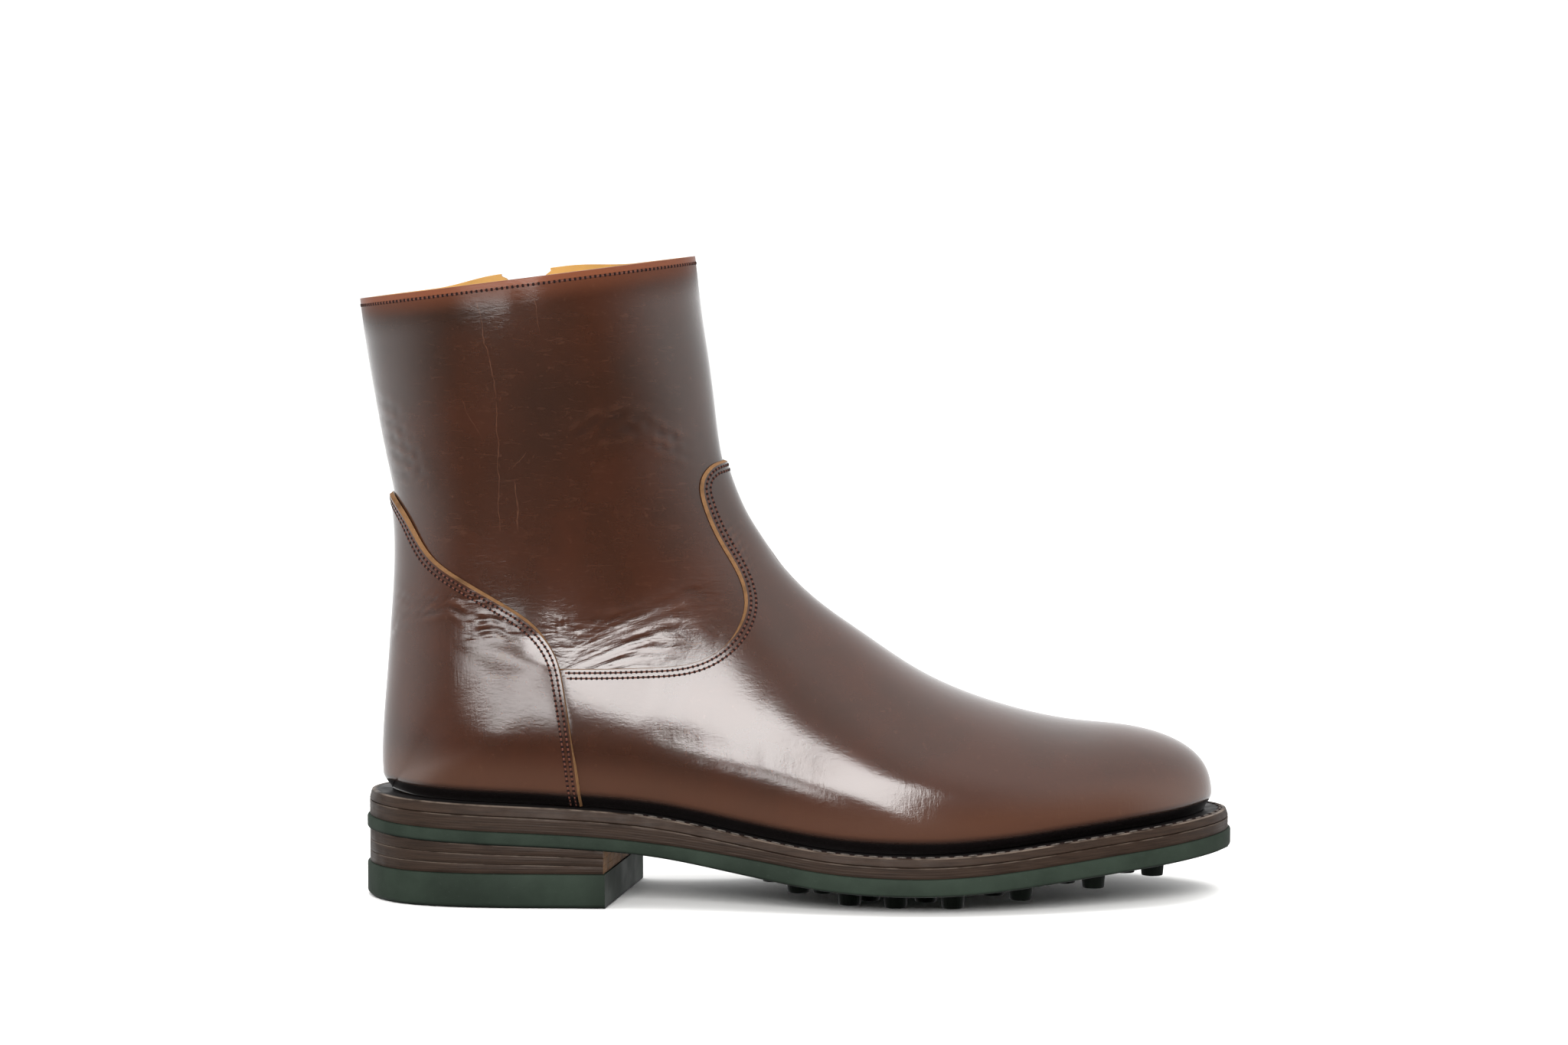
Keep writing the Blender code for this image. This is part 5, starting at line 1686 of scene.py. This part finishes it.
def build_outsole(rubber):
    """The rubber outsole with its lugs."""
    wall = eased_wall(WELT_REACH, sole_edge, outsole_top, 0.0, 0.0, 0.7)
    thing = sole_loft("outsole_rubber", wall, SOLE_STATIONS, 12, camber=CAMBER)
    pattern = add_shape("lug_one", bpy.ops.mesh.primitive_cone_add, (0, 0, 0.5 * MM), vertices=LUG_SIDES,
                        radius1=LUG_RADIUS * LUG_TAPER * MM, radius2=LUG_RADIUS * MM, depth=1.0 * MM)
    bpy.ops.object.transform_apply(location=True, rotation=False, scale=False)
    with editing(pattern, "EDGE"):
        bpy.ops.mesh.bevel(offset=LUG_BEVEL * MM, segments=2, affect="EDGES")
    place = []
    size = []
    for row in LUG_ROWS:
        count = max(2, round((row.lateral + row.medial) / LUG_SPACE) + 1)
        for k, y in enumerate(np.linspace(-row.lateral, row.medial, count)):
            x = row.x + LUG_STAGGER * (-1) ** k
            local = float(sole_edge(x)) - CAMBER
            foot = local - LUG_HEIGHT
            foot = 0.0 if foot < LUG_FLAT else foot
            place.append((x, y, foot))
            size.append((1.0, 1.0, local + CAMBER + 1.0 - foot))
    turns = np.tile(np.eye(3), (len(place), 1, 1))
    lugs = scatter("lugs", pattern, np.array(place), turns, np.array(size))
    remove(pattern)
    join(thing, lugs)
    smooth_piece(thing, 35)
    finish_piece(thing, "boot", ("outsole",), (rubber,))


def build_midsole(leather):
    wall = ringed_wall(WELT_REACH, lambda x: outsole_top(x) + PLY_GAP, lambda x: midsole_top(x) - PLY_GAP,
                       MIDSOLE.inset, MIDSOLE.inset, 2, 0.05)
    thing = sole_loft("midsole_leather", wall, SOLE_STATIONS, 4)
    smooth_piece(thing)
    finish_piece(thing, "boot", ("midsole",), (leather,))


def build_welt(leather):
    """The welt: a band round the feather line, stained dark on top and painted with the shade of the groove
    where the upper meets it.
    """
    side = WELT_REACH - MIDSOLE.inset
    top = WELT_REACH - WELT.inset
    # Each step: offset from the feather line, height, and its share of dark stain and painted shade.
    profile = (
        (-WELT_LAP, lambda x: midsole_top(x) + PLY_GAP, 0.0),
        (side - 0.4, lambda x: midsole_top(x) + PLY_GAP, 0.0),
        (side, lambda x: midsole_top(x) + 0.45, 0.0),
        (top, lambda x: welt_top(x) - 0.9, 0.0),
        (top - 0.25, lambda x: welt_top(x) - 0.3, 0.0),
        (top - 0.9, welt_top, 0.35),
        (WELT_GROOVE + GROOVE_HALF, lambda x: welt_top(x) - 0.05, 0.75),
        (WELT_GROOVE, lambda x: welt_top(x) - GROOVE_DEPTH, 1.0),
        (WELT_GROOVE - GROOVE_HALF, lambda x: welt_top(x) - 0.05, 1.0),
        (-WELT_LAP, welt_top, 1.0),
        (-WELT_LAP, lambda x: midsole_top(x) + PLY_GAP, 0.0),
    )
    thing = add_grid("welt_leather", RING_STEPS, len(profile) - 1)
    flat = coordinates(thing)
    column = grid_steps(flat, 0, RING_STEPS) % RING_STEPS
    level = grid_steps(flat, 1, len(profile) - 1)
    points = np.zeros((len(flat), 3))
    stain_and_shade = np.zeros(len(flat))
    for number, (offset, height, dark) in enumerate(profile):
        here = level == number
        loop = feather_loop(RING_STEPS, offset)[column[here]]
        points[here] = np.stack([loop[:, 0], loop[:, 1], height(loop[:, 0])], axis=1)
        stain_and_shade[here] = dark
    x, z = points[:, 0], points[:, 2]
    store_wear(thing, z - midsole_top(x), welt_top(x) - z, stain_and_shade, 1.0)
    set_points(thing, points)
    with editing(thing):
        bpy.ops.mesh.remove_doubles(threshold=2e-6)
    outward_volume(thing)
    smooth_piece(thing)
    finish_piece(thing, "boot", ("welt",), (leather,))


def build_heel(colours, leather, rubber):
    """The stacked lifts and the rubber top piece."""
    ends = (BREAST_LATERAL, BREAST_MEDIAL)
    raw = cut_leather("raw heel breast", colours.raw_edge, 1.3, 0.35)

    def lift_height(step, gap):
        return lambda x: TOP_PIECE + (sole_edge(x) - TOP_PIECE) * step / HEEL_LIFTS + gap

    for i in range(HEEL_LIFTS):
        wall = eased_wall(WELT_REACH, lift_height(i, LIFT_GAP), lift_height(i + 1, -LIFT_GAP),
                          MIDSOLE.inset, MIDSOLE.inset, 0.3)
        thing = sole_loft(f"heel_lift_leather_{i + 1}", wall, HEEL_STATIONS, 4, ends)
        directions = np.array([tuple(face.normal) for face in thing.data.polygons])
        face_material(thing, np.where(directions[:, 0] > 0.8, 1, 0))
        smooth_piece(thing)
        finish_piece(thing, "boot", (f"heel_lift_{i + 1}",), (leather, raw))

    def level(z):
        return lambda x: z + 0.0 * x

    foot = [(WELT_REACH - 1.3, level(0.0)), (WELT_REACH - 0.1, level(1.3))]
    wall = foot + eased_wall(WELT_REACH, level(1.0), level(TOP_PIECE - PLY_GAP), 0.0, 0.0, 0.6)[2:]
    ends = (BREAST_LATERAL + BREAST_STEP, BREAST_MEDIAL + BREAST_STEP)
    thing = sole_loft("top_piece_rubber", wall, HEEL_STATIONS, 6, ends)
    smooth_piece(thing, 35)
    finish_piece(thing, "boot", ("heel_top_piece",), (rubber,))


def build_insole(colours):
    wall = eased_wall(-INSOLE_INSET, lambda x: welt_top(x) + GAP, lambda x: welt_top(x) + GAP + INSOLE_THICK,
                      0.0, 0.0, 0.8)
    thing = sole_loft("insole_leather", wall, INSOLE_STATIONS, 8)
    smooth_piece(thing)
    finish_piece(thing, "boot", ("insole",), (insole_leather(colours),))


def build_sole(colours):
    """Outsole, midsole, welt and heel."""
    rubber = moulded_rubber(colours)
    leather = burnished_edge(colours)
    build_outsole(rubber)
    build_midsole(leather)
    build_welt(leather)
    build_heel(colours, leather, rubber)


# Zip

class InnerSide:
    """Finds points of the last's inner side by their place in side view."""

    def __init__(self):
        self.rows, self.across = (part.ravel() for part in np.meshgrid(
            np.linspace(11, TOP_ROW, 200), np.linspace(0.06, 0.94, 160), indexing="ij"))
        points = skin(self.rows, self.across)
        self.tree = kdtree.KDTree(len(points))
        for i, (x, _y, z) in enumerate(points):
            self.tree.insert((x, 0.0, z), i)
        self.tree.balance()

    def at(self, places):
        """Points and outward normals of the leather at side-view places."""
        near = np.array([self.tree.find((x, 0.0, z))[1] for x, z in places])
        row, across = self.rows[near].copy(), self.across[near].copy()
        step = 1e-3
        for _round in range(6):
            here = skin(row, across)
            by_row = (skin(np.minimum(row + step, TOP_ROW), across) - here)[:, (0, 2)]
            by_across = (skin(row, across + step) - here)[:, (0, 2)]
            still = np.abs(by_row).sum(axis=1) < 1e-9
            by_row[still] = (here - skin(row - step, across))[still][:, (0, 2)]
            miss = places - here[:, (0, 2)]
            area = by_row[:, 0] * by_across[:, 1] - by_row[:, 1] * by_across[:, 0]
            row = row + step * (miss[:, 0] * by_across[:, 1] - miss[:, 1] * by_across[:, 0]) / area
            across = across + step * (by_row[:, 0] * miss[:, 1] - by_row[:, 1] * miss[:, 0]) / area
            row = np.clip(row, 10.0, TOP_ROW)
            across = np.clip(across, 0.02, 0.98)
        return last_frame(row, across)


def build_tape(inner_side, colours):
    """The zip's tape behind the slot."""
    length = math.dist(ZIP_TOP, ZIP_END) + 0.4 * TAPE_HALF
    thing = add_grid("zip_tape_weave", 16, 120)
    flat = coordinates(thing)
    up, side = zip_directions()
    drop = TAPE_SHORT + (length - TAPE_SHORT) * (1 - flat[:, 1]) / 2
    places = np.array(ZIP_TOP) - drop[:, None] * up + (flat[:, 0] * TAPE_HALF)[:, None] * side
    point, normal = inner_side.at(places)
    set_points(thing, point - (WALL + GAP + TAPE_THICK) * normal)
    outer = thicken(thing)
    count = len(point)
    both = np.concatenate((point - (WALL + GAP + TAPE_THICK) * normal, point - (WALL + GAP) * normal))
    tree = kdtree.KDTree(count)
    for i, spot in enumerate(metres(both[:count])):
        tree.insert(spot, i)
    tree.balance()
    match = np.array([tree.find(spot)[1] for spot in coordinates(thing)])
    set_points(thing, both[match + count * outer])
    outward_volume(thing)
    smooth_piece(thing)
    finish_piece(thing, "boot", ("zip_tape",), (woven_tape(colours),))


def build_teeth(inner_side, metal):
    """Two rows of teeth that lock into each other."""
    tooth = add_shape("tooth_one", bpy.ops.mesh.primitive_cube_add, size=1.0 * MM)
    bpy.ops.transform.resize(value=TOOTH_SIZE)
    bpy.ops.object.transform_apply(location=False, rotation=False, scale=True)
    with editing(tooth, "EDGE"):
        bpy.ops.mesh.bevel(offset=TOOTH_BEVEL * MM, segments=1, affect="EDGES")
    up, side = zip_directions()
    length = math.dist(ZIP_TOP, ZIP_END)
    drops = np.arange(TAPE_SHORT + 1.0, length - 1.0, TOOTH_PITCH)
    place = []
    turns = []
    for shift, sign in ((0.0, 1.0), (0.5, -1.0)):
        line = np.array(ZIP_TOP) - (drops + shift * TOOTH_PITCH)[:, None] * up + TOOTH_SIDE * sign * side
        point, normal = inner_side.at(line)
        upward = unit(along_face(np.tile((up[0], 0.0, up[1]), (len(point), 1)), normal))
        place.append(point - TOOTH_SINK * normal)
        turns.append(np.stack([np.cross(upward, normal), upward, normal], axis=2))
    thing = scatter("zip_teeth", tooth, np.concatenate(place), np.concatenate(turns))
    remove(tooth)
    thing.data.polygons.foreach_set("use_smooth", np.zeros(len(thing.data.polygons), bool))
    finish_piece(thing, "boot", ("zip_chain",), (metal,))


def soft_copy(node, name, ease):
    """A copy of a hard node with its edges eased."""
    thing = bpy.data.objects.new(name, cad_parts[node].data.copy())
    thing.data.name = name
    bpy.context.scene.collection.objects.link(thing)
    with editing(thing):
        bpy.ops.mesh.remove_doubles(threshold=1e-6)
        bpy.ops.mesh.dissolve_limited(angle_limit=math.radians(2))
    step = thing.modifiers.new("Ease", "BEVEL")
    step.width = ease * MM
    step.segments = 3
    step.limit_method = "ANGLE"
    step.angle_limit = math.radians(25)
    pick(thing)
    bpy.ops.object.modifier_apply(modifier=step.name)
    smooth_piece(thing)
    return thing


def build_zip(colours):
    """Tape, teeth, slider and pull tab."""
    metal = dark_metal(colours)
    inner_side = InnerSide()
    build_tape(inner_side, colours)
    build_teeth(inner_side, metal)
    slider = soft_copy("zip_slider", "zip_slider_metal", 0.25)
    finish_piece(slider, "boot", ("zip_slider",), (metal,))
    pull = soft_copy("zip_pull", "zip_pull_metal", 0.3)
    finish_piece(pull, "zip_pull_tab", ("zip_pull",), (metal,))


# Stage

def soft_box(box, power):
    """A soft studio light that the camera doesn't see."""
    light = bpy.data.lights.new(box.name, "AREA")
    light.shape = "RECTANGLE"
    light.size = box.wide
    light.size_y = box.high
    light.energy = power
    light.color = LIGHT_COLOUR
    thing = bpy.data.objects.new(box.name, light)
    thing.location = box.spot
    turn = (Vector(box.aim) - Vector(box.spot)).to_track_quat("-Z", "Y")
    thing.rotation_euler = (turn @ Quaternion((0.0, 0.0, 1.0), -box.lean)).to_euler()
    thing.visible_camera = False
    bpy.context.scene.collection.objects.link(thing)
    return thing


def dim_left(light, share):
    """Fades a light out towards its left end, over a share of its width."""
    light.use_nodes = True
    tree = Tree(light.node_tree)
    place = tree.node("ShaderNodeNewGeometry").outputs["Parametric"]
    tree.link(tree.span(tree.part(place, "X"), 0.0, share), tree.nodes["Emission"].inputs["Strength"])


def build_backdrop(stage):
    """A bright surround behind the boot that falls off towards the front."""
    world = bpy.data.worlds.new("studio surround")
    world.use_nodes = True
    tree = Tree(world.node_tree)
    way = tree.node("ShaderNodeTexCoord").outputs["Generated"]
    behind = tree.math("MULTIPLY_ADD", tree.part(way, "Z"), SURROUND_ABOVE, tree.part(way, "Y"))
    behind = tree.math("MULTIPLY_ADD", tree.math("ABSOLUTE", tree.part(way, "X")), SURROUND_BESIDE, behind)
    strength = tree.span(behind, *SURROUND_FALL, stage.front_light, stage.back_light)
    background = tree.nodes["Background"]
    tree.link(strength, background.inputs["Strength"])
    background.inputs["Color"].default_value = (1.0, 1.0, 1.0, 1.0)
    bpy.context.scene.world = world


def build_camera(stage):
    camera = bpy.data.cameras.new("camera")
    camera.sensor_width = 36.0
    camera.lens = stage.lens
    camera.clip_end = 100.0
    thing = bpy.data.objects.new("camera", camera)
    thing.location = (stage.camera_x, -stage.camera_distance, stage.camera_height)
    thing.rotation_euler = (math.pi / 2 - stage.camera_pitch, 0.0, 0.0)
    bpy.context.scene.collection.objects.link(thing)
    bpy.context.scene.camera = thing


def build_stage(stage):
    """Pale floor, soft lights, surround and camera."""
    floor = add_shape("pale_floor", bpy.ops.mesh.primitive_circle_add, (0, 0, -FLOOR_DROP), vertices=96,
                      radius=FLOOR_RADIUS, fill_type="NGON")
    bpy.ops.object.transform_apply(location=True, rotation=False, scale=False)
    floor.data.materials.append(studio_floor(stage))
    floor.visible_glossy = False
    build_backdrop(stage)
    build_camera(stage)
    bpy.context.scene.view_settings.view_transform = "Standard"
    glints = (soft_box(VAMP_BOX, stage.vamp_power), soft_box(HEEL_BOX, stage.heel_power))
    dim_left(glints[1].data, HEEL_FADE)
    fills = (soft_box(FRONT_BOX, stage.front_power), soft_box(TOP_BOX, stage.top_power))
    for light in glints:
        light.visible_diffuse = False
    for light in fills:
        light.visible_glossy = False


# Add-on

def number_property(name, description, default, **settings):
    return bpy.props.FloatProperty(name=name, description=description, default=default, **settings)


def colour_property(name, description, default):
    return bpy.props.FloatVectorProperty(name=name, description=description, default=default, size=3,
                                         subtype="COLOR", min=0.0, max=1.0)


class BootSizes(bpy.types.PropertyGroup):
    """Sizes that a user may change."""
    crease_depth: number_property("Crease depth", "Depth as a share of the tables' depths", 1.0, min=0.0)
    stitch_pitch: number_property("Stitch pitch", "Length of one seam stitch, in millimetres", 1.8, min=0.0)
    stitch_width: number_property("Stitch width", "Width of one seam stitch, in millimetres", 0.62, min=0.0)


class BootColours(bpy.types.PropertyGroup):
    """Colours of the boot's materials."""
    leather_dark: colour_property("Dark leather", "Leather of the upper shaft", (0.019, 0.0068, 0.0030))
    leather_red: colour_property("Red leather", "Leather low on the boot", (0.034, 0.0094, 0.0034))
    # Painted floor reflection: the lighter, warmer colour that the leather takes near the welt.
    leather_floor_reflection: colour_property("Floor reflection", "Leather close to the welt", (0.085, 0.040, 0.025))
    # Also the painted highlight on the creases' ridges and on the shaft's pale streaks.
    leather_pale: colour_property("Pale leather", "Scars and flecks", (0.13, 0.058, 0.034))
    leather_hem: colour_property("Hem", "Reddish band under the collar", (0.085, 0.027, 0.013))
    # Painted shade in the creases' troughs and just above the welt.
    leather_shade: colour_property("Painted shade", "Leather just above the welt", (0.004, 0.003, 0.003))
    raw_edge: colour_property("Raw edge", "Cut edges of the leather", (0.135, 0.068, 0.028))
    lining: colour_property("Lining", "Lining of the shaft", (0.52, 0.29, 0.08))
    insole: colour_property("Insole", "Insole inside the boot", (0.50, 0.29, 0.13))
    thread: colour_property("Seam thread", "Thread of the seams", (0.115, 0.043, 0.030))
    welt_thread: colour_property("Welt thread", "Thread of the welt", (0.105, 0.09, 0.08))
    edge_leather: colour_property("Sole edge", "Leather edges of the sole", (0.027, 0.0160, 0.0108))
    edge_worn: colour_property("Worn sole edge", "Top line of the sole's edge", (0.16, 0.125, 0.10))
    rubber: colour_property("Rubber", "Outsole and top piece", (0.0128, 0.0182, 0.0136))
    zip_fabric: colour_property("Zip tape", "Tape of the zip", (0.06, 0.04, 0.033))
    zip_metal: colour_property("Zip metal", "Teeth, slider and pull", (0.20, 0.19, 0.18))


class BootStage(bpy.types.PropertyGroup):
    """Camera and lights."""
    lens: number_property("Lens", "Focal length", 91.9, unit="CAMERA")
    camera_x: number_property("Camera x", "Place along the boot", -0.005, unit="LENGTH")
    camera_distance: number_property("Camera distance", "From the boot's middle", 1.425, unit="LENGTH")
    camera_height: number_property("Camera height", "Height above the floor", 0.237, unit="LENGTH")
    camera_pitch: number_property("Camera pitch", "Tilt down", math.radians(4.18), subtype="ANGLE")
    floor_colour: colour_property("Floor", "Pale floor", (0.93, 0.93, 0.92))
    front_light: number_property("Front surround", "Brightness in front", 0.05)
    back_light: number_property("Back surround", "Brightness behind", 1.32)
    vamp_power: number_property("Vamp light", "Softbox that the vamp mirrors", 6.3, unit="POWER")
    heel_power: number_property("Heel light", "Softbox that the counter mirrors", 2.3, unit="POWER")
    front_power: number_property("Front light", "Softbox in front, above", 45.0, unit="POWER")
    top_power: number_property("Overhead", "Softbox above the boot", 26.0, unit="POWER")


class BOOT_OT_stage(bpy.types.Operator):
    """Adds the floor, the lights, the surround and the camera"""
    bl_idname = "boot.stage"
    bl_label = "Stage"

    def execute(self, context):
        build_stage(context.scene.boot_stage)
        return {"FINISHED"}


class BOOT_OT_upper(bpy.types.Operator):
    """Builds the hollow upper with its lining"""
    bl_idname = "boot.upper"
    bl_label = "Upper"

    def execute(self, context):
        build_upper(context.scene.boot_sizes, context.scene.boot_colours)
        return {"FINISHED"}


class BOOT_OT_overlays(bpy.types.Operator):
    """Builds the vamp and the counter over the upper"""
    bl_idname = "boot.overlays"
    bl_label = "Vamp and counter"

    def execute(self, context):
        build_vamp(context.scene.boot_sizes, context.scene.boot_colours)
        build_counter(context.scene.boot_sizes, context.scene.boot_colours)
        return {"FINISHED"}


class BOOT_OT_stitching(bpy.types.Operator):
    """Sews the seams, the collar, the zip and the welt"""
    bl_idname = "boot.stitching"
    bl_label = "Stitching"

    def execute(self, context):
        build_stitching(context.scene.boot_sizes, context.scene.boot_colours)
        return {"FINISHED"}


class BOOT_OT_sole(bpy.types.Operator):
    """Builds the outsole, the midsole, the welt and the stacked heel"""
    bl_idname = "boot.sole"
    bl_label = "Sole and heel"

    def execute(self, context):
        build_sole(context.scene.boot_colours)
        return {"FINISHED"}


class BOOT_OT_insole(bpy.types.Operator):
    """Builds the insole inside the boot"""
    bl_idname = "boot.insole"
    bl_label = "Insole"

    def execute(self, context):
        build_insole(context.scene.boot_colours)
        return {"FINISHED"}


class BOOT_OT_zip(bpy.types.Operator):
    """Builds the zip's tape, teeth, slider and pull tab"""
    bl_idname = "boot.zip"
    bl_label = "Zip"

    def execute(self, context):
        build_zip(context.scene.boot_colours)
        return {"FINISHED"}


class BOOT_PT_panel(bpy.types.Panel):
    """Lists the boot's pieces in the sidebar"""
    bl_idname = "BOOT_PT_panel"
    bl_label = "Side-zip boot"
    bl_space_type = "VIEW_3D"
    bl_region_type = "UI"
    bl_category = "Boot"

    def draw(self, context):
        for operator in OPERATORS:
            self.layout.operator(operator.bl_idname)
        for group in (context.scene.boot_sizes, context.scene.boot_colours, context.scene.boot_stage):
            for name in group.bl_rna.properties.keys():
                if name not in ("rna_type", "name"):
                    self.layout.prop(group, name)


OPERATORS = (BOOT_OT_stage, BOOT_OT_upper, BOOT_OT_overlays, BOOT_OT_stitching, BOOT_OT_sole, BOOT_OT_insole,
             BOOT_OT_zip)
GROUPS = (BootSizes, BootColours, BootStage)


def register():
    for kind in GROUPS + OPERATORS + (BOOT_PT_panel,):
        bpy.utils.register_class(kind)
    bpy.types.Scene.boot_sizes = bpy.props.PointerProperty(type=BootSizes)
    bpy.types.Scene.boot_colours = bpy.props.PointerProperty(type=BootColours)
    bpy.types.Scene.boot_stage = bpy.props.PointerProperty(type=BootStage)


def unregister():
    del bpy.types.Scene.boot_stage
    del bpy.types.Scene.boot_colours
    del bpy.types.Scene.boot_sizes
    for kind in reversed(GROUPS + OPERATORS + (BOOT_PT_panel,)):
        bpy.utils.unregister_class(kind)


def main():
    register()
    bpy.ops.boot.stage()
    bpy.ops.boot.upper()
    bpy.ops.boot.overlays()
    bpy.ops.boot.stitching()
    bpy.ops.boot.sole()
    bpy.ops.boot.insole()
    bpy.ops.boot.zip()


if __name__ == "__main__":
    main()
